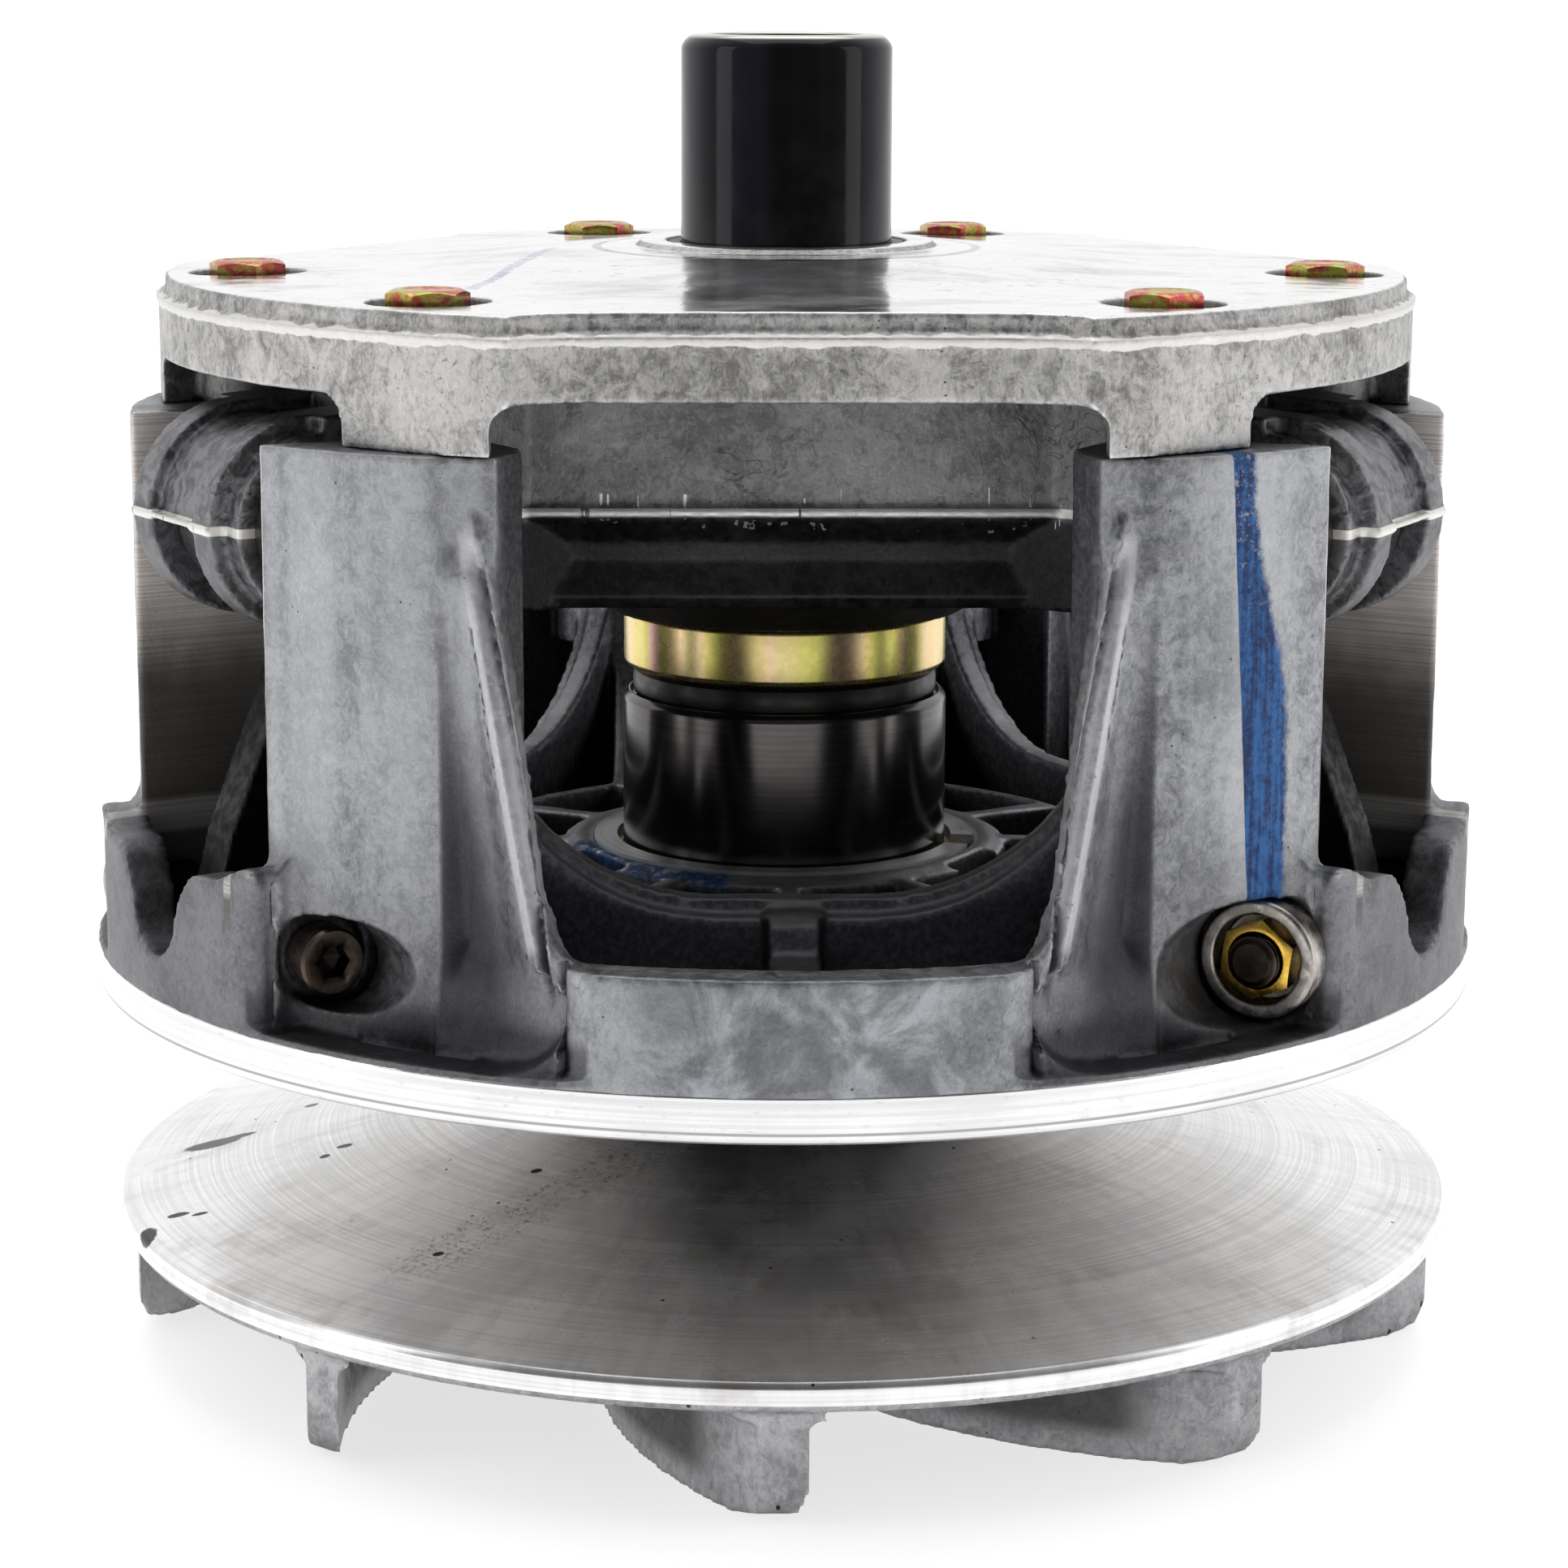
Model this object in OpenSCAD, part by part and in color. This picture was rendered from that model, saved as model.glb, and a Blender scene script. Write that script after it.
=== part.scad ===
// Drive clutch of a belt-type continuously variable transmission, standing on its cooling fins.
// +Z is the shaft axis. A window between the towers faces -Y. Stored with the sheaves closed.

/* [Sheaves] */
// Outer radius of the fixed sheave
fixed_r = 112.6; // [110:0.1:114]
// Outer radius of the moving sheave's machined rim
moving_r = 114.6; // [113:0.1:116]
// Slope of each belt face, in degrees
belt_angle = 12.7; // [11:0.1:14]
// Radius where the belt faces meet the hubs
belt_inner_r = 33; // [31:0.5:36]
// Gap between the hub faces when the sheaves are closed
hub_gap = 0.4; // [0.3:0.1:1]
// Travel of the moving sheave
travel = 33; // [28:1:33]

/* [Fixed sheave] */
// Height of the fins below the rim
fin_h = 17.8; // [14:0.1:20]
// Thickness of the fixed sheave's rim
fixed_rim_h = 5; // [4:0.5:7]
// Number of cooling fins
fin_count = 9; // [6:1:12]
// Thickness of a fin
fin_w = 5.2; // [4:0.1:6]

/* [Shaft] */
// Outer radius of the post
post_r = 17.25; // [16:0.05:18]
// Height of the post's top above the floor
post_top = 213.3; // [205:0.1:214]
// Radius of the pilot bore in the post's top
pilot_r = 12.4; // [11:0.1:13]
// Radius of the retaining bolt's hole
bolt_hole_r = 7; // [6:0.5:8]
// Outer radius of the sleeve that the moving sheave slides on
sleeve_r = 27.1; // [26:0.1:28]

/* [Towers] */
// Height of the tower tops
tower_top = 155; // [150:1:156]
// Half the width of the slot between the two towers of a pair
slot_half = 24; // [23.9:0.1:25]
// Distance from the axis to the outer slot corner of a tower, along the arm
tower_reach = 106; // [104:0.5:107]
// Height of the window sill
sill_z = 83.7; // [80:0.1:86]
// Radius of the cover's bolt circle
bolt_circle_r = 88; // [86:0.5:90]
// Angle of each cover bolt from its arm
bolt_angle = 21.76; // [20:0.01:24]

/* [Spider] */
// Distance of each roller from the axis
roller_reach = 93; // [91:0.5:94]
// Height of the rollers
roller_z = 141; // [139:0.5:142]
// Radius of a roller
roller_r = 13; // [12:0.1:13]
// Radius of the round arm ends
arm_end_r = 16.8; // [16:0.1:17]
// Distance of the spider's flat walls from the axis
wall_reach = 46; // [44:0.5:47]

/* [Weights] */
// Distance of each weight's pin from the axis
pin_reach = 99.9; // [99:0.1:100.5]
// Height of the weight pins
pin_z = 77.8; // [77:0.1:79]
// Radius of a weight pin
pin_r = 4; // [3.5:0.1:4.5]
// Angle that a weight folds inward while the sheave opens
fold_angle = 72; // [68:1:76]

/* [Cover] */
// Radius of the cover's lobes
cover_r = 102; // [100:0.5:103]
// Distance of the cover's edge from the axis above each window
cover_waist = 88; // [86:0.5:92]
// Height of the cover's top edge
cover_edge_z = 175.6; // [175:0.1:176]
// Height of the cover's hub ring
cover_hub_z = 180.2; // [179:0.1:180.5]
// Bottom of the skirt between its pads
skirt_z = 162.5; // [162:0.5:164]

/* [Hidden] */
$fn = 96;
arm_angles = [-30, 90, 210];
window_angles = [-90, 30, 150];
slope = tan(belt_angle);
// fixed sheave
rim_top = fin_h + fixed_rim_h;
fixed_hub_z = rim_top + (fixed_r - belt_inner_r) * slope;
fin_end_r = 110;
fin_arc_r = 95;
fin_sweep = 37;
fin_root_r = 46;
hub_bottom = 1.5;
// moving sheave
moving_low = fixed_hub_z + hub_gap;
rim_z = moving_low + (moving_r - belt_inner_r) * slope;
band_top = rim_z + 7.1;
wall_r = moving_r + 0.3;
wall_in_r = 107.5;
plate_t = 7;
hub_z = 80.3;
deck_r = 58;
pocket_in = 37.5;
pocket_out = 54;
pocket_floor = 68;
bush_t = 3;
pocket_z = band_top + 0.8;
shoulder_z = 89;
notch_half = 8;
notch_z = 73.5;
fit = 0.05;
// tower outer faces are one cylinder per pair, centred on the arm
face_c = 34.5;
face_r = norm([tower_reach - face_c, slot_half]);
tower_t = 6;
window_edge = 34;
ridge_edge = 29.5;
tower_boss_r = 8.4;
gusset_angle = 37.2;
gusset_foot = 102;
gusset_lean = 4.5;
gusset_twist = 14;
// saddle walls: straight walls across the windows, low in the middle, that rise to the towers
saddle_in = 62;
saddle_out = 69;
saddle_z = 84.4;
saddle_r = 36;
saddle_flat = 12;
saddle_end = 54;
// collar stack
sleeve_top = 105.6;
ring_top = 109.7;
spider_low = 119.5;
spider_top = 164;
nut_z = 142;
spring_low = nut_z;
cup_z = 171;
spring_high = cup_z - 0.3;
spring_r = 27.6;
spring_wire = 5;
spring_turns = 4;
spring_steps = 26;
spring_sides = 8;
// arm ends
cheek_half = 19.5;
slot_w = 7.9;
roller_half = 6.9;
arm_low = 125.5;
button_r = 11.5;
head_in = slot_half + 4.6;
roller_pin_r = 5;
// cover
flash_z = 171.2;
waist_half = 28;
waist_r = 22;
arch_r = 4;
bolt_seat_z = 173.2;
bolt_shank_r = 3.15;
head_flats = 11.1;
head_top = 177.5;

// Points on an arc, as [x, y] pairs
function arc(cx, cy, r, a0, a1, n) = [for (i = [0:n]) let (a = a0 + (a1 - a0) * i / n)
    [cx + r * cos(a), cy + r * sin(a)]];
function cone_z(r) = moving_low + (r - belt_inner_r) * slope;

// Copies its children for each pair of towers, with +X along the arm
module each_arm() {
    for (a = arm_angles) rotate([0, 0, a]) children();
}
// The same for both sides of each arm
module each_tower() {
    each_arm() {
        children();
        mirror([0, 1, 0]) children();
    }
}
module each_window() {
    for (a = window_angles) rotate([0, 0, a]) children();
}
// Extrudes an outline in the X-Z plane from y = y0 to y = y1
module side_plate(y0, y1) {
    translate([0, y1, 0]) rotate([90, 0, 0]) linear_extrude(y1 - y0) children();
}
// A tube along Z
module tube(r_out, r_in, z0, z1) {
    translate([0, 0, z0]) difference() {
        cylinder(r = r_out, h = z1 - z0);
        translate([0, 0, -1]) cylinder(r = r_in, h = z1 - z0 + 2);
    }
}
// A cylinder along Y through x, z
module cross_rod(x, z, r, y0, y1) {
    translate([x, y1, z]) rotate([90, 0, 0]) cylinder(r = r, h = y1 - y0);
}
// Wedge that keeps what lies between the slot and a given angle from the arm
module tower_wedge(angle, y0) {
    polygon([[y0 / tan(angle), y0], [150, y0], [150, 150 * tan(angle)]]);
}

/* ---------- fixed body ---------- */
// One curved fin, as the ring between two cylinders, cut to length
module fin() {
    inner = [fin_root_r * cos(-fin_sweep), fin_root_r * sin(-fin_sweep)];
    outer = [fin_end_r, 0];
    mid = (inner + outer) / 2;
    span = norm(outer - inner);
    across = [-(outer - inner)[1], (outer - inner)[0]] / span;
    centre = mid + across * sqrt(pow(fin_arc_r, 2) - pow(span / 2, 2));
    intersection() {
        translate([centre[0], centre[1], 0]) union() {
            tube(fin_arc_r + fin_w / 2, fin_arc_r - fin_w / 2, 0, 24);
            tube(fin_arc_r + fin_w / 2 + 1.6, fin_arc_r - fin_w / 2 - 1.6, fin_h - 2.2, 24);
        }
        rotate([0, 0, -22]) translate([20, -60, 0]) cube([100, 120, 24]);
        rotate_extrude() polygon([
            [22, 0], [fin_end_r - 5, 0], [fin_end_r - 1.4, 1.2], [fin_end_r, 4.5],
            [fin_end_r, fin_h + 1], [fin_end_r - 8, fin_h + 4], [22, 24]]);
    }
}

module fixed_sheave() {
    color("silver") difference() {
        union() {
            rotate_extrude() polygon([
                [20, hub_bottom], [31, hub_bottom], [34, hub_bottom + 3], [36, 22],
                [42, 27.5], [fixed_r - 4, fin_h + 0.6], [fixed_r - 1.2, fin_h], [fixed_r, fin_h + 1.2],
                [fixed_r, rim_top - 0.8], [fixed_r - 0.8, rim_top + 0.15],
                [belt_inner_r, fixed_hub_z], [20, fixed_hub_z]]);
            for (i = [0:fin_count - 1]) rotate([0, 0, -90.8 + i * 360 / fin_count]) fin();
            tube(24, post_r, hub_bottom, fixed_hub_z);
        }
        translate([0, 0, -1]) cylinder(r = post_r, h = 60);
    }
}

module post() {
    color("#15161a") rotate_extrude() polygon([
        [15, hub_bottom], [post_r - 0.8, hub_bottom], [post_r, hub_bottom + 0.8],
        [post_r, post_top - 1.2], [post_r - 1.2, post_top], [pilot_r + 0.6, post_top],
        [pilot_r, post_top - 0.6], [pilot_r, post_top - 42], [bolt_hole_r, post_top - 46],
        [bolt_hole_r, hub_bottom + 88], [10.6, hub_bottom + 88]]);
}

module sleeve() {
    color("#4a4a4c") rotate_extrude() polygon([
        [post_r, fixed_hub_z], [sleeve_r, fixed_hub_z], [sleeve_r, sleeve_top - 1],
        [sleeve_r - 1.2, sleeve_top], [sleeve_r - 1.5, sleeve_top - 1.4],
        [post_r, sleeve_top - 1.4]]);
}

module o_ring() {
    color("#111111") tube(25.4, post_r, sleeve_top - 1.4, ring_top);
}

module collar() {
    color("goldenrod") rotate_extrude() polygon([
        [post_r, ring_top], [26.1, ring_top], [26.9, ring_top + 0.8],
        [26.9, spider_low - 0.8], [26.1, spider_low], [post_r, spider_low]]);
}

// Body of the spider: three walls that undercut below the parting line and meet in a foot
module spider_body() {
    intersection_for (a = window_angles) rotate([0, 0, a]) side_plate(-120, 120) polygon([
        [-120, arm_low], [wall_reach - 3, arm_low], [wall_reach - 1.8, arm_low + 2], [wall_reach - 3.8, 133],
        [wall_reach - 3.2, 136], [wall_reach - 0.4, roller_z - 1.4], [wall_reach + 0.7, roller_z - 0.5],
        [wall_reach + 0.7, roller_z + 0.5], [wall_reach, roller_z + 1], [wall_reach, spider_top],
        [-120, spider_top]]);
}
// Side outline of an arm
module spider_arm() {
    side_plate(-cheek_half, cheek_half) union() {
        translate([roller_reach, roller_z]) circle(r = arm_end_r);
        polygon([[40, arm_low], [70, arm_low], [80, roller_z - 13], [roller_reach, roller_z - arm_end_r],
            [roller_reach, roller_z + arm_end_r], [84, roller_z + 17.4], [74, 161], [62, spider_top - 1],
            [40, spider_top - 1]]);
    }
}
// Slot for the roller and the weight, open below the parting line, as deep as the weight's tip swings
module weight_slot() {
    side_plate(-slot_w, slot_w) polygon([
        [120, spider_low - 2], [44, spider_low - 2], [44.5, 124.5], [49.5, 130.5], [54, 134],
        [54, roller_z - 0.4], [120, roller_z - 0.4]]);
}

module spider() {
    color("#6b6d70") difference() {
        union() {
            intersection() {
                spider_body();
                cylinder(r = 74, h = 200);
            }
            translate([0, 0, spider_low]) cylinder(r1 = 30, r2 = 40, h = arm_low + 0.5 - spider_low);
            each_arm() spider_arm();
            // flash of the parting line round the arm ends
            each_arm() translate([60, -cheek_half, roller_z - 0.5])
                cube([roller_reach + arm_end_r - 59.4, 2 * cheek_half, 1]);
        }
        translate([0, 0, spider_low - 1]) cylinder(r = post_r, h = 60);
        translate([0, 0, nut_z]) cylinder(r = 33, h = 40);
        each_arm() weight_slot();
        each_arm() cross_rod(roller_reach, roller_z, roller_r + 1, -slot_w, slot_w);
        // shallow web recess between the rims on the upper half
        each_arm() side_plate(-slot_w, slot_w) difference() {
            translate([roller_reach - 30, roller_z + 0.5]) square([60, 40]);
            translate([roller_reach, roller_z]) circle(r = arm_end_r - 1.7);
            translate([roller_reach - 30, roller_z - 1]) square([19, 40]);
            translate([roller_reach - 31, roller_z - 1]) square([31, arm_end_r - 1.2]);
        }
        each_tower() cheek_step();
        each_arm() cross_rod(roller_reach, roller_z, roller_pin_r, -cheek_half - 1, cheek_half + 1);
        // tangential pockets in the top
        each_window() translate([34, -24, 150]) cube([7, 48, 20]);
    }
}
// Step on a cheek's outer side that leaves a rim round the button
module cheek_step() {
    side_plate(14.8, 24.8) difference() {
        translate([roller_reach, roller_z]) circle(r = arm_end_r + 3);
        translate([roller_reach, roller_z]) circle(r = arm_end_r - 2.6);
        translate([40, 100]) square([roller_reach - 40, 80]);
    }
}

module jam_nut() {
    color("#54565a") translate([0, 0, nut_z]) difference() {
        cylinder(r = 21, h = 9, $fn = 6);
        translate([0, 0, -1]) cylinder(r = post_r, h = 12);
    }
}

// Helical spring swept as one closed skin, with flat closed ends
function spring_point(t, k) = let (
        a = 360 * spring_turns * t,
        rise = spring_high - spring_low - spring_wire,
        z = spring_low + spring_wire / 2 + rise * t,
        b = 360 * (k + 0.5) / spring_sides,
        w = spring_wire / 2)
    [(spring_r + w * cos(b)) * cos(a), (spring_r + w * cos(b)) * sin(a), z + w * sin(b)];
module primary_spring() {
    n = spring_turns * spring_steps;
    m = spring_sides;
    points = [for (i = [0:n]) for (k = [0:m - 1]) spring_point(i / n, k)];
    sides = [for (i = [0:n - 1]) for (k = [0:m - 1])
        [i * m + k, i * m + (k + 1) % m, (i + 1) * m + (k + 1) % m, (i + 1) * m + k]];
    start = [[for (k = [m - 1:-1:0]) k]];
    finish = [[for (k = [0:m - 1]) n * m + k]];
    color("#3b5f9a") polyhedron(points, concat(sides, start, finish), convexity = 8);
}

module roller_pins() {
    color("#8d8f92") each_arm()
        cross_rod(roller_reach, roller_z, roller_pin_r, -cheek_half, cheek_half);
}

module thrust_washers() {
    color("#c9b26a") each_tower() translate([roller_reach, slot_w, roller_z])
            rotate([90, 0, 0]) difference() {
        cylinder(r = 9, h = 0.8);
        translate([0, 0, -1]) cylinder(r = roller_pin_r, h = 3);
    }
}

module spider_buttons() {
    color("#121212") each_tower() cross_rod(roller_reach, roller_z, button_r, cheek_half, slot_half - 0.3);
}

module roller(i) {
    color("#9a9c9f") rotate([0, 0, arm_angles[i]]) difference() {
        union() {
            cross_rod(roller_reach, roller_z, roller_r, -roller_half + 0.8, roller_half - 0.8);
            cross_rod(roller_reach, roller_z, roller_r - 0.8, -roller_half, roller_half);
        }
        cross_rod(roller_reach, roller_z, roller_pin_r + 1.6, -10, 10);
    }
}
module roller_bush(i) {
    color("#b5894a") rotate([0, 0, arm_angles[i]]) difference() {
        cross_rod(roller_reach, roller_z, roller_pin_r + 1.6, -roller_half, roller_half);
        cross_rod(roller_reach, roller_z, roller_pin_r + fit, -10, 10);
    }
}

/* ---------- moving body ---------- */
// Revolved plate, rim and hub
module sheave_disc() {
    rotate_extrude() polygon([
        [28, moving_low], [belt_inner_r, moving_low], [moving_r, rim_z], [moving_r, band_top],
        [wall_in_r, band_top], [wall_in_r - 4, cone_z(wall_in_r) + plate_t - 1],
        [deck_r + 4, cone_z(deck_r + 4) + plate_t], [deck_r, cone_z(deck_r) + plate_t + 4],
        [deck_r, hub_z - 3.5], [deck_r - 3, hub_z - 0.8], [36, hub_z - 0.6], [35, hub_z], [28, hub_z]]);
}
// Outer wall: low at the windows, cut back in front of the towers, with shoulders beside the arms
module outer_wall() {
    difference() {
        tube(wall_r, wall_in_r, band_top - 1, shoulder_z + 4);
        each_window() translate([0, 0, sill_z]) linear_extrude(40)
            polygon([[0, 0], [160, -160 * tan(18)], [160, 160 * tan(18)]]);
        each_tower() translate([0, 0, pocket_z]) linear_extrude(40)
            polygon([[0, 0], [160, 160 * tan(15)], [160, 160 * tan(42.5)]]);
        each_arm() rotate([0, 0, 90]) rotate([90, 0, 0]) translate([0, 0, 90])
            linear_extrude(40) shoulder_cut();
    }
}
// What is taken off the wall at an arm: the rounded notch and the slopes of its shoulders
module shoulder_cut() {
    polygon(concat(
        [[40, shoulder_z + 10], [40, shoulder_z + 3], [27, shoulder_z + 3], [20, shoulder_z]],
        arc(16, shoulder_z - 6, 6, 90, 150, 4),
        arc(0, notch_z + notch_half, notch_half, 0, -180, 12),
        arc(-16, shoulder_z - 6, 6, 30, 90, 4),
        [[-20, shoulder_z], [-27, shoulder_z + 3], [-40, shoulder_z + 3], [-40, shoulder_z + 10]]));
}
// Slot-side wall of a tower, running in to the hub, with a swept inner edge
module slot_wall() {
    side_plate(slot_half, slot_half + tower_t) polygon(concat(
        [[36, 50], [36, hub_z - 1.5]],
        arc(43, hub_z + 27, 28, -90, -4, 10),
        [[71, tower_top - 1], [101, tower_top - 1], [101, 62], [60, 50]]));
}
// Flare from the tower's slot corner out to the wall
module slot_flare() {
    side_plate(slot_half, slot_half + 5.5) polygon(concat(
        [[100, 66], [110.8, 66], [110.8, 88]],
        arc(110.8 + 4.6, 100.5, 12.9, 248, 190, 6),
        [[100, 99]]));
}
// Curved outer face plate of a tower
module tower_face() {
    translate([0, 0, 62]) linear_extrude(tower_top - 62) intersection() {
        difference() {
            translate([face_c, 0]) circle(r = face_r);
            translate([face_c, 0]) circle(r = face_r - tower_t);
        }
        tower_wedge(ridge_edge, slot_half);
    }
    // set-back strip between the ridge and the window
    translate([0, 0, 62]) linear_extrude(tower_top - 62) intersection() {
        difference() {
            translate([face_c, 0]) circle(r = face_r - 1.4);
            translate([face_c, 0]) circle(r = face_r - tower_t - 4);
        }
        tower_wedge(window_edge, slot_half + 10);
    }
}
// Boss that takes the cover bolt
module tower_boss() {
    rotate([0, 0, bolt_angle]) translate([bolt_circle_r, 0, 100])
        cylinder(r = tower_boss_r, h = tower_top - 100.6);
    rotate([0, 0, bolt_angle]) translate([bolt_circle_r - 2, -2.5, 60]) cube([14, 5, tower_top - 62]);
    translate([0, 0, tower_top - 7]) linear_extrude(7) intersection() {
        translate([face_c, 0]) circle(r = face_r - 2.5);
        tower_wedge(window_edge - 1.2, slot_half + 1);
        translate([74, 0]) square([60, 80]);
    }
}
// Tapering gusset from the tower down to the window sill: a leaning panel edged by a rib
module gusset() {
    intersection() {
        rotate([0, 0, gusset_angle]) translate([gusset_foot, 0, sill_z])
                rotate([0, -gusset_lean, -gusset_twist]) {
            rotate([90, 0, 90]) linear_extrude(4) polygon(concat(
                [[-14, -22], [-14, 59.3], [-9.4, 60.3], [-8, 57.3], [3.6, 7.3]],
                arc(15, 7.5, 10, 190, 262, 6), [[15, -22]]));
            translate([3, 0, 0]) rotate([90, 0, 90]) linear_extrude(3.2) polygon(concat(
                [[-10.6, 57.3], [-8.5, 62.3], [-7, 59.3], [4.6, 8.3]],
                arc(15, 8.5, 9, 190, 270, 6), [[15, -6], [11, -4.7], [3.4, -0.7], [0.6, 9.3]]));
        }
        translate([0, 0, 60]) cylinder(r = wall_r - 0.4, h = 100);
    }
}
// Fillet between the pocket's floor and the end of the window sill
module sill_fillet() {
    intersection() {
        tube(wall_r - 1.3, wall_in_r + 0.5, band_top - 0.6, sill_z);
        rotate([90, 0, 90]) linear_extrude(130) polygon(concat(
            [[30, 60], [30, sill_z - 0.2], [33, sill_z - 0.2]],
            arc(42.5, 76.8, 9, 180, 270, 6), [[42.5, 60]]));
    }
}
// Outline of a saddle wall, lowered by drop
module saddle_outline(drop) {
    top = saddle_z - drop;
    polygon(concat(
        [[-saddle_end, 58], [-saddle_end, tower_top - 1], [-saddle_flat - saddle_r, tower_top - 1]],
        arc(-saddle_flat, top + saddle_r, saddle_r, 180, 270, 12),
        arc(saddle_flat, top + saddle_r, saddle_r, 270, 360, 12),
        [[saddle_flat + saddle_r, tower_top - 1], [saddle_end, tower_top - 1], [saddle_end, 58]]));
}
module saddle_wall() {
    translate([saddle_in, 0, 0]) rotate([90, 0, 90]) linear_extrude(4.5) saddle_outline(0);
    translate([saddle_in + 2, 0, 0]) rotate([90, 0, 90]) linear_extrude(saddle_out - saddle_in - 2)
        saddle_outline(2.4);
}
// Rib from the saddle out to the wall under the window sill
module saddle_rib() {
    side_plate(-4.2, 4.2) polygon([
        [saddle_in + 1, 60], [saddle_in + 1, saddle_z - 1], [saddle_out, saddle_z - 1.6],
        [saddle_out + 2.6, saddle_z - 3.4], [saddle_out + 4, 77], [80, 75.5], [wall_in_r + 1, 74.5],
        [wall_in_r + 1, 62]]);
}
// Pocket between the webs of the deck
module deck_pocket() {
    translate([0, 0, pocket_floor]) linear_extrude(30) intersection() {
        difference() {
            circle(r = pocket_out);
            circle(r = pocket_in);
        }
        polygon([[0, 0], [60, -13], [60, 13]]);
    }
}
module moving_sheave() {
    color("#7d8085") difference() {
        union() {
            sheave_disc();
            outer_wall();
            each_tower() {
                slot_wall();
                slot_flare();
                tower_face();
                tower_boss();
                gusset();
            }
            each_window() {
                saddle_wall();
                saddle_rib();
                sill_fillet();
                mirror([0, 1, 0]) sill_fillet();
            }
        }
        // bush bore and the seat of the retaining ring
        translate([0, 0, 30]) cylinder(r = sleeve_r + fit + bush_t, h = 80);
        translate([0, 0, hub_z - 1.6]) cylinder(r = 32.2, h = 5);
        // pin holes, and flats for the pin heads and nut cups
        each_arm() cross_rod(pin_reach, pin_z, pin_r, -60, 60);
        each_arm() cross_rod(pin_reach, pin_z, 7.2, slot_half + 4.6, 50);
        each_arm() cross_rod(pin_reach, pin_z, 9.6, -50, -slot_half - 4.6);
        // threaded holes for the cover bolts
        each_tower() rotate([0, 0, bolt_angle]) translate([bolt_circle_r, 0, 138])
            cylinder(r = bolt_shank_r, h = 30);
        // clear space for the weights
        each_arm() translate([34.2, -7, 62]) cube([72.3, 14, 60]);
        // pockets in the deck round the hub
        each_window() for (a = [-45, -15, 15, 45]) rotate([0, 0, a]) deck_pocket();
    }
}

module sheave_bush() {
    color("#8a6a3c") tube(sleeve_r + fit + bush_t, sleeve_r + fit, moving_low + 2, hub_z - 1.6);
}

// Open retaining ring in its seat
module retaining_ring() {
    color("#c9cbce") difference() {
        tube(32, 28.2, hub_z - 1.6, hub_z + 0.2);
        rotate([0, 0, -12]) translate([20, -3.5, 70]) cube([20, 7, 20]);
    }
}

// Plan of the cover, with a waist above each window
module cover_plan(inset) {
    difference() {
        circle(r = cover_r - inset);
        for (a = window_angles) rotate([0, 0, a]) {
            translate([cover_waist - inset, -waist_half]) square([30, 2 * waist_half]);
            for (s = [-1, 1]) translate([cover_waist + waist_r - inset, waist_half * s]) circle(r = waist_r);
        }
    }
}
// Arch cut out of the skirt, half_w wide at its foot, with round upper corners
module skirt_arch(half_w, top) {
    rotate([90, 0, 90]) linear_extrude(140) polygon(concat(
        [[-half_w, tower_top - 2]], arc(arch_r - half_w, top - arch_r, arch_r, 180, 90, 5),
        arc(half_w - arch_r, top - arch_r, arch_r, 90, 0, 5), [[half_w, tower_top - 2]]));
}
module cover() {
    color("#c4c6c8") difference() {
        union() {
            // plate and dome
            intersection() {
                rotate_extrude() polygon([
                    [10, 168.5], [104, 168.5], [104, cover_edge_z - 0.4], [98, cover_edge_z],
                    [72, cover_edge_z + 0.3], [60, cover_edge_z + 0.7], [44, 178], [31, 179],
                    [24.6, 179.2], [24, cover_hub_z], [10, cover_hub_z]]);
                translate([0, 0, 160]) linear_extrude(30) cover_plan(0.8);
            }
            // parting line
            translate([0, 0, flash_z]) linear_extrude(1.2) cover_plan(-0.7);
            // skirt with its pads, between arches over the windows and the arms
            difference() {
                translate([0, 0, tower_top]) linear_extrude(flash_z + 0.6 - tower_top) difference() {
                    cover_plan(-0.3);
                    cover_plan(5);
                }
                each_window() skirt_arch(44.5, skirt_z);
                each_arm() skirt_arch(33.2, skirt_z);
            }
            each_tower() rotate([0, 0, bolt_angle]) translate([bolt_circle_r, 0, tower_top])
                cylinder(r = tower_boss_r, h = flash_z - tower_top);
            tube(24.5, 10, 166, 172);
        }
        translate([0, 0, 150]) cylinder(r = post_r + fit + 2.2, h = 50);
        // recess for the spring
        difference() {
            translate([0, 0, 160]) cylinder(r = 36, h = cup_z - 160);
            translate([0, 0, 150]) cylinder(r = 24.5, h = 50);
        }
        each_tower() rotate([0, 0, bolt_angle]) translate([bolt_circle_r, 0, 150])
            cylinder(r = bolt_shank_r + 0.3, h = 40);
        each_tower() rotate([0, 0, bolt_angle]) translate([bolt_circle_r, 0, bolt_seat_z])
            cylinder(r = 9.2, h = 10);
    }
}

module cover_bush() {
    color("#2e2b28") tube(post_r + fit + 2.2, post_r + fit, 166.2, cover_hub_z - 0.4);
}

module cover_bolts() {
    color("#b9a23e") each_tower() rotate([0, 0, bolt_angle]) translate([bolt_circle_r, 0, 0]) {
        translate([0, 0, bolt_seat_z]) intersection() {
            cylinder(r = head_flats / sqrt(3), h = head_top - bolt_seat_z, $fn = 6);
            cylinder(r1 = 8, r2 = head_flats / 2 - 0.4, h = head_top - bolt_seat_z + 1.6);
        }
        translate([0, 0, 140]) cylinder(r = bolt_shank_r, h = bolt_seat_z - 140 + 1);
    }
}

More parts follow.
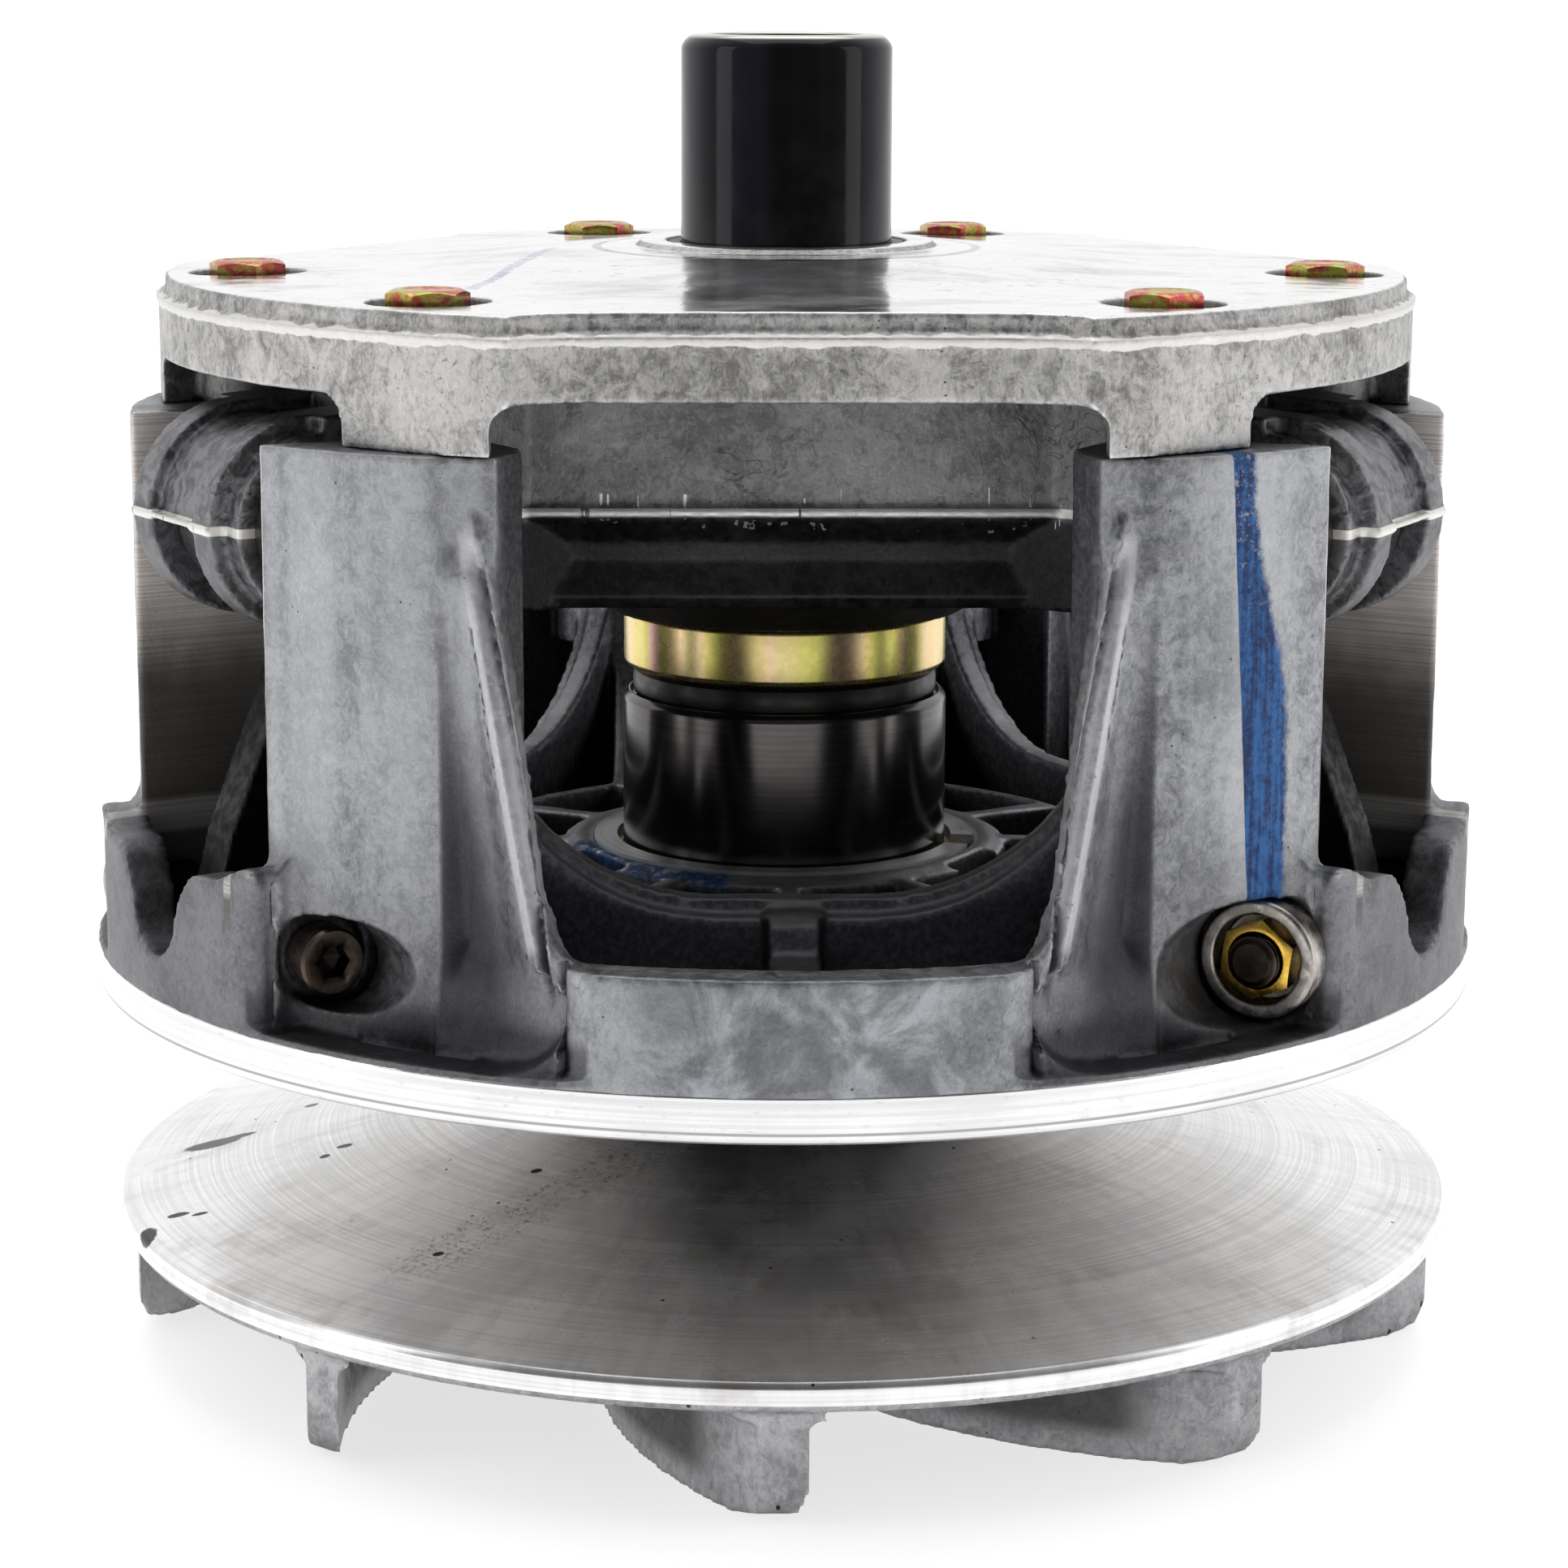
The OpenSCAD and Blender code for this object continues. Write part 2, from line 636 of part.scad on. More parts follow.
module weight_pins() {
    color("#3a2a20") each_arm() difference() {
        union() {
            cross_rod(pin_reach, pin_z, pin_r, -36.5, head_in + 1);
            cross_rod(pin_reach, pin_z, 5.8, head_in, head_in + 6.2);
        }
        translate([pin_reach, head_in + 7, pin_z]) rotate([90, 0, 0]) cylinder(r = 2.9, h = 4.4, $fn = 6);
    }
}

module nut_cups() {
    color("#5c5044") each_arm() difference() {
        cross_rod(pin_reach, pin_z, 9.25, -head_in - 5.6, -head_in);
        cross_rod(pin_reach, pin_z, 6.9, -head_in - 9, -head_in - 1);
        cross_rod(pin_reach, pin_z, pin_r, -60, 0);
    }
}

module weight_nuts() {
    color("goldenrod") each_arm() difference() {
        translate([pin_reach, -head_in - 1, pin_z]) rotate([90, 0, 0])
            cylinder(r = 6.3, h = 5, $fn = 6);
        cross_rod(pin_reach, pin_z, pin_r, -60, 0);
    }
}

// Arm of a weight about its pin: x is towards the axis, y is up
module weight_arm() {
    difference() {
        polygon([[-6, 3], [-3, 14], [5, 34], [11.5, 52], [20.5, 57],
            [25, 51], [25, 38], [20, 18], [7.4, 1], [0, -2]]);
        // room for the roller at every step of the travel
        for (t = [0:1.5:6]) let (
                a = fold_angle * t / travel,
                u = pin_reach - roller_reach,
                v = roller_z - pin_z - t)
            translate([u * cos(a) - v * sin(a), u * sin(a) + v * cos(a)]) circle(r = roller_r + 0.5);
    }
}
module flyweight(i) {
    color("#8f9092") rotate([0, 0, arm_angles[i]]) difference() {
        union() {
            cross_rod(pin_reach, pin_z, 8, -5, 5);
            translate([pin_reach, -4.6, pin_z]) rotate([90, 0, 180]) linear_extrude(9.2) weight_arm();
        }
        cross_rod(pin_reach, pin_z, pin_r + 1.5, -10, 10);
    }
}
module weight_bush(i) {
    color("#a37c45") rotate([0, 0, arm_angles[i]]) difference() {
        cross_rod(pin_reach, pin_z, pin_r + 1.5, -5, 5);
        cross_rod(pin_reach, pin_z, pin_r + fit, -10, 10);
    }
}

fixed_sheave();
post();
sleeve();
o_ring();
collar();
spider();
jam_nut();
primary_spring();
roller_pins();
thrust_washers();
spider_buttons();
roller(0);  // roller_1
roller(1);  // roller_2
roller(2);  // roller_3
roller_bush(0);  // roller_bush_1
roller_bush(1);  // roller_bush_2
roller_bush(2);  // roller_bush_3
moving_sheave();
sheave_bush();
retaining_ring();
cover();
cover_bush();
cover_bolts();
weight_pins();
nut_cups();
weight_nuts();
flyweight(0);  // flyweight_1
flyweight(1);  // flyweight_2
flyweight(2);  // flyweight_3
weight_bush(0);  // weight_bush_1
weight_bush(1);  // weight_bush_2
weight_bush(2);  // weight_bush_3
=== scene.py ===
"""The looks of a drive clutch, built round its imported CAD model. Metres, +Z up, shaft axis at the origin."""

import math

import bpy
import numpy as np
from mathutils import Matrix, Vector


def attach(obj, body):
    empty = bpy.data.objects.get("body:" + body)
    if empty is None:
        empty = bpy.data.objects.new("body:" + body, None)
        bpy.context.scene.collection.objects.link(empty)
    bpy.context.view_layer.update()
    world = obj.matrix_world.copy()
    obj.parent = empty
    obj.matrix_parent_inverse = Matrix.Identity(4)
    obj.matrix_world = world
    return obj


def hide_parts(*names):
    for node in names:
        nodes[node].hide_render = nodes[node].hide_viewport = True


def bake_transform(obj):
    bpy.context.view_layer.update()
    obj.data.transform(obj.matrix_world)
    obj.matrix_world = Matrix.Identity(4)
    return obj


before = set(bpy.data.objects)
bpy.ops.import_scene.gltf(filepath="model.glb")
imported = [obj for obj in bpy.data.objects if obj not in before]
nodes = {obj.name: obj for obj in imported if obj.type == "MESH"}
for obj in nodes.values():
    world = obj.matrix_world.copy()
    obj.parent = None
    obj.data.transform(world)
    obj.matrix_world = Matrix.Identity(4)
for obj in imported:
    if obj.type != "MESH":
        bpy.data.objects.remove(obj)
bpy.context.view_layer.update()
MM = 0.001
ARMS = (-30, 90, 210)
BOLT_ANGLE, BOLT_R = 21.76, 88
# heights of the stack, in mm
FIXED_HUB_Z, MOVING_LOW = 40.74, 41.14
RIM_Z, BAND_TOP = 59.53, 66.63
SLEEVE_TOP, RING_TOP, SPIDER_LOW = 105.6, 109.7, 119.5
ROLLER_AT, ROLLER_Z, PIN_AT, PIN_Z = 93, 141, 99.9, 77.8
NUT_Z, CUP_Z, HUB_Z, COVER_HUB_Z = 142, 171, 80.3, 180.2
# weight pins: where their heads and cups start, along the pin
HEAD_IN = 28.6
# radii of the turned pieces, in mm
POST_R, SLEEVE_R, PIN_R, ROLLER_PIN_R, WEIGHT_BORE = 17.25, 27.1, 3.95, 5, 4
BOLT_FLATS, NUT_FLATS, JAM_NUT_FLATS = 11.1, 6.3 * math.sqrt(3), 21 * math.sqrt(3)
FIT = 0.05
SHARP_ANGLE = math.radians(32)


# ---------------------------------------------------------------- camera, light and floor
def make_camera():
    """Long lens, a little above the cover, facing the window between two towers."""
    distance, height = 0.6716, 0.2265
    turn, tilt, roll = math.radians(-1.31), math.radians(11.603), math.radians(0.226)
    data = bpy.data.cameras.new("camera")
    data.lens, data.sensor_width = 93.17, 36
    data.clip_start, data.clip_end = 0.01, 50
    cam = bpy.data.objects.new("camera", data)
    bpy.context.scene.collection.objects.link(cam)
    at = Vector((math.sin(turn) * distance, -math.cos(turn) * distance, height))
    cam.matrix_world = (Matrix.Translation(at) @ Matrix.Rotation(turn, 4, "Z")
                        @ Matrix.Rotation(math.pi / 2 - tilt, 4, "X") @ Matrix.Rotation(roll, 4, "Z"))
    bpy.context.scene.camera = cam


def area_light(name, at, to, size, power):
    data = bpy.data.lights.new(name, "AREA")
    data.shape, data.size, data.size_y, data.energy = "RECTANGLE", size[0], size[1], power
    lamp = bpy.data.objects.new(name, data)
    bpy.context.scene.collection.objects.link(lamp)
    lamp.location = at
    lamp.rotation_euler = (Vector(to) - Vector(at)).to_track_quat("-Z", "Y").to_euler()


def make_light():
    """A bright tent all round, a little darker in front, with soft boxes at both sides and above."""
    scene = bpy.context.scene
    scene.view_settings.view_transform = "Standard"
    world = bpy.data.worlds.new("studio")
    scene.world = world
    world.use_nodes = True
    tree = world.node_tree
    tree.nodes.clear()
    out = tree.nodes.new("ShaderNodeOutputWorld")
    seen = tree.nodes.new("ShaderNodeBackground")
    lit = tree.nodes.new("ShaderNodeBackground")
    seen.inputs["Color"].default_value = (1, 1, 1, 1)
    path = tree.nodes.new("ShaderNodeLightPath")
    mix = tree.nodes.new("ShaderNodeMixShader")
    coord = tree.nodes.new("ShaderNodeTexCoord")
    split = tree.nodes.new("ShaderNodeSeparateXYZ")
    ramp = tree.nodes.new("ShaderNodeValToRGB")
    spread = tree.nodes.new("ShaderNodeMapRange")
    spread.inputs["From Min"].default_value = -1
    tree.links.new(coord.outputs["Generated"], split.inputs[0])
    tree.links.new(split.outputs["Y"], spread.inputs["Value"])
    tree.links.new(spread.outputs[0], ramp.inputs[0])
    steps = ramp.color_ramp.elements
    steps[0].position, steps[0].color = 0.0, (0.08, 0.08, 0.085, 1)
    steps[1].position, steps[1].color = 0.75, (1.0, 1.0, 1.0, 1)
    steps.new(0.15).color = (0.13, 0.13, 0.135, 1)
    steps.new(0.42).color = (0.40, 0.40, 0.405, 1)
    tree.links.new(ramp.outputs[0], lit.inputs["Color"])
    tree.links.new(path.outputs["Is Camera Ray"], mix.inputs[0])
    tree.links.new(lit.outputs[0], mix.inputs[1])
    tree.links.new(seen.outputs[0], mix.inputs[2])
    tree.links.new(mix.outputs[0], out.inputs[0])
    area_light("left_box", (-0.80, -0.25, 0.30), (0, 0, 0.1), (0.30, 0.8), 0.9)
    area_light("right_box", (0.80, -0.20, 0.30), (0, 0, 0.1), (0.30, 0.8), 0.9)
    area_light("top_box", (0, 0.15, 0.95), (0, 0, 0.1), (0.8, 0.8), 3)


def make_floor():
    """A white table that runs past the horizon, bright enough to leave only a soft contact shadow."""
    bpy.ops.mesh.primitive_plane_add(size=90, location=(0, 0, 0))
    floor = bpy.context.object
    floor.name = "floor"
    mat = bpy.data.materials.new("floor")
    mat.use_nodes = True
    shader = mat.node_tree.nodes["Principled BSDF"]
    shader.inputs["Base Color"].default_value = (0.60, 0.60, 0.60, 1)
    shader.inputs["Roughness"].default_value = 0.6
    shader.inputs["Emission Color"].default_value = (1, 1, 1, 1)
    shader.inputs["Emission Strength"].default_value = 0.72
    floor.data.materials.append(mat)


# ---------------------------------------------------------------- procedural materials
class Look:
    """Builds one node material. Coordinates are the object's own, in millimetres, with Z along the shaft."""

    def __init__(self, name, metallic=0.0):
        self.mat = bpy.data.materials.new(name)
        self.mat.use_nodes = True
        self.tree = self.mat.node_tree
        self.shader = self.tree.nodes["Principled BSDF"]
        self.shader.inputs["Metallic"].default_value = metallic
        coord = self.tree.nodes.new("ShaderNodeTexCoord")
        self.mm = self.vector("SCALE", coord.outputs["Object"], scale=1000)
        split = self.tree.nodes.new("ShaderNodeSeparateXYZ")
        self.link(self.mm, split.inputs[0])
        self.x, self.y, self.z = split.outputs
        self.r = self.sqrt_sum(self.x, self.y)
        # degrees from -Y towards +X
        self.theta = self.math("MULTIPLY", self.math("ARCTAN2", self.x, self.math("MULTIPLY", self.y, -1)),
                               180 / math.pi)
        self.normal = None

    def link(self, source, socket):
        if isinstance(source, (int, float)):
            socket.default_value = source
        elif isinstance(source, tuple):
            socket.default_value = source if len(source) == len(socket.default_value) else (*source, 1)
        else:
            self.tree.links.new(source, socket)

    def vector(self, operation, a, b=None, scale=None):
        node = self.tree.nodes.new("ShaderNodeVectorMath")
        node.operation = operation
        self.link(a, node.inputs[0])
        if b is not None:
            self.link(b, node.inputs[1])
        if scale is not None:
            node.inputs["Scale"].default_value = scale
        return node.outputs["Vector"]

    def math(self, operation, a, b=0.0, c=0.0):
        node = self.tree.nodes.new("ShaderNodeMath")
        node.operation = operation
        for value, socket in zip((a, b, c), node.inputs):
            self.link(value, socket)
        return node.outputs[0]

    def scale(self, value, factor):
        return self.math("MULTIPLY", value, factor)

    def sqrt_sum(self, a, b):
        return self.math("SQRT", self.math("ADD", self.math("MULTIPLY", a, a), self.math("MULTIPLY", b, b)))

    def both(self, *masks):
        out = masks[0]
        for m in masks[1:]:
            out = self.math("MULTIPLY", out, m)
        return out

    def either(self, *masks):
        out = masks[0]
        for m in masks[1:]:
            out = self.math("MAXIMUM", out, m)
        return out

    def blend_of(self, *pairs):
        """Weighted sum of (weight, value) pairs."""
        out = self.math("MULTIPLY", pairs[0][1], pairs[0][0])
        for weight, value in pairs[1:]:
            out = self.math("ADD", out, self.math("MULTIPLY", value, weight))
        return out

    def noise(self, scale, detail=4.0, rough=0.5, stretch=None, distort=0.0, shift=None):
        node = self.tree.nodes.new("ShaderNodeTexNoise")
        at = self.mm if stretch is None else self.vector("MULTIPLY", self.mm, stretch)
        if shift is not None:
            at = self.vector("ADD", at, shift)
        self.link(at, node.inputs["Vector"])
        node.inputs["Scale"].default_value = scale
        node.inputs["Detail"].default_value = detail
        node.inputs["Roughness"].default_value = rough
        node.inputs["Distortion"].default_value = distort
        return node.outputs["Fac"]

    def turned(self, scale, detail=2.0):
        """Noise that only changes with radius and height: the lines a lathe leaves."""
        node = self.tree.nodes.new("ShaderNodeCombineXYZ")
        self.link(self.r, node.inputs[0])
        self.link(self.math("MULTIPLY", self.theta, 0.004), node.inputs[1])
        self.link(self.z, node.inputs[2])
        tex = self.tree.nodes.new("ShaderNodeTexNoise")
        self.link(node.outputs[0], tex.inputs["Vector"])
        tex.inputs["Scale"].default_value = scale
        tex.inputs["Detail"].default_value = detail
        return tex.outputs["Fac"]

    def round_noise(self, scale, along=0.3, detail=3.0):
        """Noise in radius-scaled angle and height, stretched by along in height."""
        node = self.tree.nodes.new("ShaderNodeCombineXYZ")
        self.link(self.theta, node.inputs[0])
        self.link(self.math("MULTIPLY", self.z, along), node.inputs[1])
        self.link(self.math("MULTIPLY", self.r, along), node.inputs[2])
        tex = self.tree.nodes.new("ShaderNodeTexNoise")
        self.link(node.outputs[0], tex.inputs["Vector"])
        tex.inputs["Scale"].default_value = scale
        tex.inputs["Detail"].default_value = detail
        return tex.outputs["Fac"]

    def cells(self, scale, stretch=None):
        """Distance to the nearest of scattered points."""
        node = self.tree.nodes.new("ShaderNodeTexVoronoi")
        self.link(self.mm if stretch is None else self.vector("MULTIPLY", self.mm, stretch),
                  node.inputs["Vector"])
        node.inputs["Scale"].default_value = scale
        return node.outputs["Distance"]

    def step(self, value, low, high, a=0.0, b=1.0):
        """a below low, b above high, smooth between."""
        node = self.tree.nodes.new("ShaderNodeMapRange")
        node.interpolation_type = "SMOOTHSTEP"
        self.link(value, node.inputs["Value"])
        for key, v in (("From Min", low), ("From Max", high), ("To Min", a), ("To Max", b)):
            node.inputs[key].default_value = v
        return node.outputs[0]

    def band(self, value, low, high, soft):
        """1 between low and high, 0 outside."""
        return self.both(self.step(value, low - soft, low), self.step(value, high, high + soft, 1, 0))

    def veins(self, noise, core, edge, strength):
        """Thin wandering lines, where a noise crosses its middle value."""
        off = self.math("ABSOLUTE", self.math("SUBTRACT", noise, 0.5))
        return self.step(off, core, edge, strength, 0.0)

    def mix(self, a, b, fac):
        """Colour a, turning into colour b as fac rises to 1."""
        node = self.tree.nodes.new("ShaderNodeMix")
        node.data_type = "RGBA"
        for source, socket in ((fac, 0), (a, 6), (b, 7)):
            self.link(source, node.inputs[socket])
        return node.outputs[2]

    def lerp(self, a, b, fac):
        """The same for two numbers."""
        node = self.tree.nodes.new("ShaderNodeMix")
        for source, socket in ((fac, 0), (a, 2), (b, 3)):
            self.link(source, node.inputs[socket])
        return node.outputs[0]

    def ramp(self, value, stops):
        node = self.tree.nodes.new("ShaderNodeValToRGB")
        self.link(value, node.inputs[0])
        ramp = node.color_ramp
        while len(ramp.elements) < len(stops):
            ramp.elements.new(0.5)
        for element, (at, colour) in zip(ramp.elements, stops):
            element.position, element.color = at, (*colour, 1)
        return node.outputs[0]

    def spot(self, at, size, wobble=0.0, scale=0.5):
        """1 inside an ellipsoid round a point, in mm, with an uneven edge."""
        far = self.vector("DIVIDE", self.vector("SUBTRACT", self.mm, at), size)
        node = self.tree.nodes.new("ShaderNodeVectorMath")
        node.operation = "LENGTH"
        self.link(far, node.inputs[0])
        value = node.outputs["Value"]
        if wobble:
            value = self.blend_of((1, value), (wobble, self.noise(scale, 3)))
        return self.step(value, 0.85 + wobble / 2, 1.1 + wobble / 2, 1, 0)

    def arm_frame(self):
        """Distance out along the nearest arm, and distance to its side."""
        phi = self.math("WRAP", self.math("ADD", self.theta, 60.0), 60.0, -60.0)
        turn = self.math("MULTIPLY", phi, math.pi / 180)
        return (self.math("MULTIPLY", self.r, self.math("COSINE", turn)),
                self.math("MULTIPLY", self.r, self.math("SINE", turn)))

    def facing_up(self):
        node = self.tree.nodes.new("ShaderNodeNewGeometry")
        split = self.tree.nodes.new("ShaderNodeSeparateXYZ")
        self.link(node.outputs["Normal"], split.inputs[0])
        return split.outputs[2]

    def crevice(self, reach=6.0):
        """1 in the open, towards 0 in corners."""
        node = self.tree.nodes.new("ShaderNodeAmbientOcclusion")
        node.samples = 8
        node.inputs["Distance"].default_value = reach * MM
        return node.outputs["AO"]

    def edge(self, low=0.52, high=0.60):
        node = self.tree.nodes.new("ShaderNodeNewGeometry")
        return self.step(node.outputs["Pointiness"], low, high)

    def bump(self, height, depth_mm, strength=1.0):
        node = self.tree.nodes.new("ShaderNodeBump")
        node.inputs["Strength"].default_value = strength
        node.inputs["Distance"].default_value = depth_mm * MM
        self.link(height, node.inputs["Height"])
        if self.normal is not None:
            self.link(self.normal, node.inputs["Normal"])
        self.normal = node.outputs["Normal"]
        self.link(self.normal, self.shader.inputs["Normal"])

    def finish(self, colour=None, roughness=None, metallic=None):
        for key, source in (("Base Color", colour), ("Roughness", roughness), ("Metallic", metallic)):
            if source is not None:
                self.link(source, self.shader.inputs[key])
        return self


def cast_base(look, dark, light, contrast=(0.41, 0.59)):
    """As-cast aluminium: mottled at three scales with short swirled marks, in dark and light."""
    broad = look.noise(0.045, 5, 0.6)
    patch = look.noise(0.33, 6, 0.68, distort=0.9)
    marks = look.noise(0.75, 6, 0.75, stretch=(1, 1, 0.6), distort=1.6)
    tone = look.step(look.blend_of((0.30, broad), (0.42, patch), (0.28, marks)), *contrast)
    look.patch = patch
    look.marks = marks
    return look.mix(dark, light, tone)


def cast_wear(look, colour, grime_and_shade_reach=7, grime_and_shade=0.75, edge_wear_and_glint=0.35, edge_colour=(0.95, 0.95, 0.95)):
    """Painted shade and grime in the crevices, edges brighter as wear and painted glint, with scattered pits.
    """
    # painted shade and grime: near black where the occlusion is close or broad
    deep = look.step(look.crevice(3.5 * grime_and_shade_reach), 0.25, 0.95, 0.6 * grime_and_shade, 0.0)
    dark = look.step(look.crevice(grime_and_shade_reach), 0.20, 0.85, grime_and_shade, 0.0)
    colour = look.mix(colour, (0.02, 0.02, 0.024), look.either(dark, deep))
    # brighter edges: partly wear, partly a painted glint of the edges
    colour = look.mix(colour, edge_colour, look.math("MULTIPLY", look.edge(), edge_wear_and_glint))
    pits = look.both(look.step(look.cells(0.42), 0.05, 0.11, 1.0, 0.0),
                     look.step(look.noise(0.14, 2), 0.54, 0.62))
    return look.mix(colour, (0.03, 0.03, 0.03), look.scale(pits, 0.85))


def cast_relief(look, grain=0.05):
    """Orange-peel skin over a slow waviness."""
    look.bump(look.noise(0.16, 3, 0.5), grain * 9, 0.5)
    look.bump(look.blend_of((0.6, look.patch), (0.4, look.marks)), grain * 4, 0.6)
    look.bump(look.noise(2.4, 3, 0.6), grain, 0.6)


def sheave_look():
    """Moving sheave: blue-grey towers, dark inside, machined slot faces, layout dye on one tower."""
    look = Look("cast_sheave", 0.9)
    out, side = look.arm_frame()
    reach = look.math("ABSOLUTE", side)
    colour = cast_base(look, (0.15, 0.153, 0.166), (0.47, 0.475, 0.495), (0.38, 0.62))
    # painted sheen in soft upright bands, weaker towards the foot, and darker towards the foot and on the
    # shoulders beside the arms
    sheen_bands = look.step(look.round_noise(0.22, 0.01, 2), 0.36, 0.64, 0.0, 0.42)
    colour = look.mix(colour, (0.60, 0.605, 0.62), look.both(sheen_bands, look.step(look.z, 74, 110, 0.3, 1.0)))
    foot = look.both(look.step(look.z, 68, 104, 0.55, 0.0), look.step(reach, 74, 80, 1, 0))
    shoulder = look.both(look.step(reach, 23, 29, 0.55, 0.0), look.step(look.z, 92, 100, 1, 0))
    low = look.both(look.step(look.z, 92, 98, 0.5, 0.0), look.step(look.r, 111, 113),
                    look.step(reach, 40, 60, 1, 0))
    colour = look.mix(colour, (0.06, 0.06, 0.065), look.either(foot, shoulder, low))
    # valley beside the gusset rib: painted shade along the ridge and at the foot, and a painted highlight on
    # the rib's crest
    angle = look.scale(look.math("ARCTAN2", reach, out), 57.2958)
    rib = look.blend_of((1, angle), (0.13, look.z))
    valley_shade = look.both(look.step(angle, 29.2, 29.8), look.step(rib, 48.4, 49.9, 1, 0),
                       look.step(look.z, 128, 140, 1, 0), look.step(look.z, 68, 72),
                       look.step(look.r, 97, 98.5))
    far = look.step(look.blend_of((1, rib), (1.0, look.noise(0.3, 3))), 44.6, 49.2, 1.0, 0.30)
    colour = look.mix(colour, (0.055, 0.055, 0.06),
                      look.both(valley_shade, far, look.step(look.z, 92, 132, 0.92, 0.50)))
    # painted highlight along the rib's crest
    crest = look.both(look.band(rib, 49.7, 50.9, 0.4), look.band(look.z, 86, 142, 3),
                      look.step(look.r, 99, 100))
    colour = look.mix(colour, (0.66, 0.66, 0.68), look.scale(crest, 0.6))
    # the wall under the windows is lighter, with washed patches
    sill = look.both(look.step(look.r, 111, 112.5), look.band(look.z, 60, 84.5, 1), look.step(reach, 77, 92))
    washed = look.step(look.noise(0.09, 7, 0.68, distort=0.7), 0.38, 0.64)
    colour = look.mix(colour, look.mix((0.16, 0.165, 0.18), (0.52, 0.54, 0.57), washed),
                      look.scale(sill, 0.7))
    # inner skin was never touched: dark and pitted, darkest on its upright faces as painted shade and lighter
    # on faces that look up as a painted highlight
    inner = look.both(look.step(look.r, 96, 101, 1, 0), look.step(look.facing_up(), 0.45, 0.75, 1, 0))
    grit = look.mix((0.13, 0.13, 0.148), (0.27, 0.27, 0.295), look.step(look.noise(0.8, 5, 0.7), 0.38, 0.68))
    colour = look.mix(colour, grit, look.scale(inner, 0.92))
    # painted highlight on the inner faces that look up
    inner_top_highlight = look.both(look.step(look.r, 96, 101, 1, 0), look.step(look.facing_up(), 0.45, 0.75))
    colour = look.mix(colour, (0.50, 0.50, 0.52), look.scale(inner_top_highlight, 0.6))
    # painted shade in the pocket just above the turned band
    pocket_shade = look.both(look.band(look.z, 65, 71, 4), look.step(look.r, 101, 104),
                       look.step(look.r, 114.2, 114.5, 1, 0))
    colour = look.mix(colour, (0.045, 0.045, 0.05), look.scale(pocket_shade, 0.7))
    colour = cast_wear(look, colour)
    # machined slot faces, with painted light: dark in shade low down, bright and warm near the top, and a
    # painted highlight band near the foot
    lines = look.noise(1.0, 1, 0.5, stretch=(0.02, 0.02, 5.0))
    slot = look.both(look.band(reach, 23.3, 24.7, 0.3), look.step(out, 62, 66), look.step(look.z, 80, 86))
    slot_light = look.step(look.blend_of((1, look.z), (26, look.noise(0.05, 3))), 118, 150)
    milled = look.mix((0.13, 0.122, 0.115), (1.0, 0.93, 0.88), slot_light)
    milled = look.mix(milled, (0.62, 0.60, 0.58), look.scale(look.band(look.z, 88, 91.5, 1.5), 0.8))
    milled = look.mix(milled, (0.05, 0.045, 0.04), look.step(lines, 0.40, 0.60, 0.30, 0.0))
    colour = look.mix(colour, milled, slot)
    # layout dye down the front right tower
    left = look.blend_of((1, look.theta), (0.036, look.z))
    right = look.blend_of((1, look.theta), (1.6, look.noise(0.5, 5, 0.75)),
                          (1, look.step(look.z, 112, 150, 0.0, 3.9)))
    run = look.both(look.band(look.z, 84, 155.5, 0.5), look.step(look.r, 100, 102),
                    look.step(left, 42.3, 42.42),
                    look.step(right, 43.3, 44.1, 1, 0))
    high = look.step(look.z, 116, 150)
    speck = look.step(look.blend_of((1, look.noise(0.7, 7, 0.85)), (0.10, high)), 0.62, 0.72, 1.0, 0.35)
    dye = look.both(run, speck)
    brush = look.blend_of((0.5, look.noise(0.8, 5, 0.7)),
                          (0.5, look.noise(1.0, 3, 0.6, stretch=(1, 1, 0.05))))
    ink = look.mix((0.004, 0.022, 0.10), (0.022, 0.125, 0.36), look.step(brush, 0.40, 0.60))
    # and a little of it on the deck beside the hub
    ring = look.both(look.band(look.r, 31.5, 37, 0.6), look.band(look.theta, -78, -18, 5),
                     look.band(look.z, 78, 81, 0.3))
    dye = look.either(dye, look.both(ring, look.step(look.noise(0.4, 4), 0.38, 0.48)))
    colour = look.mix(colour, ink, dye)
    rough = look.step(look.blend_of((0.6, look.patch), (0.4, look.noise(2.6, 3))), 0.35, 0.65, 0.40, 0.60)
    rough = look.lerp(rough, 0.42, slot)
    cast_relief(look, 0.05)
    look.bump(look.both(slot, lines), 0.03, 0.6)
    # the slot faces are less metallic, least where light is painted near their top
    bare = look.lerp(0.9, look.step(slot_light, 0, 1, 0.3, 0.0), slot)
    metal = look.math("MINIMUM", look.step(dye, 0, 1, 0.9, 0.35), bare)
    return look.finish(colour, rough, metal)


def fin_look():
    """Underside of the fixed sheave: grey casting, lighter edges and a few square pits on the fin ends."""
    look = Look("turned_sheave_cast", 0.9)
    colour = cast_base(look, (0.26, 0.265, 0.275), (0.66, 0.66, 0.67), (0.38, 0.62))
    # painted shade under the sheave, towards the hub and above its lowest edge
    shaded = look.both(look.step(look.r, 96, 104, 1, 0), look.step(look.z, 2, 6))
    colour = look.mix(colour, (0.12, 0.12, 0.12), shaded)
    colour = cast_wear(look, colour, 8, 0.7, 0.35)
    pits = look.step(look.cells(0.30, stretch=(1, 1, 0.6)), 0.10, 0.15, 1.0, 0.0)
    colour = look.mix(colour, (0.02, 0.02, 0.02), look.both(pits, look.step(look.noise(0.05, 1), 0.5, 0.55)))
    cast_relief(look, 0.05)
    return look.finish(colour, look.step(look.patch, 0.35, 0.65, 0.42, 0.60))


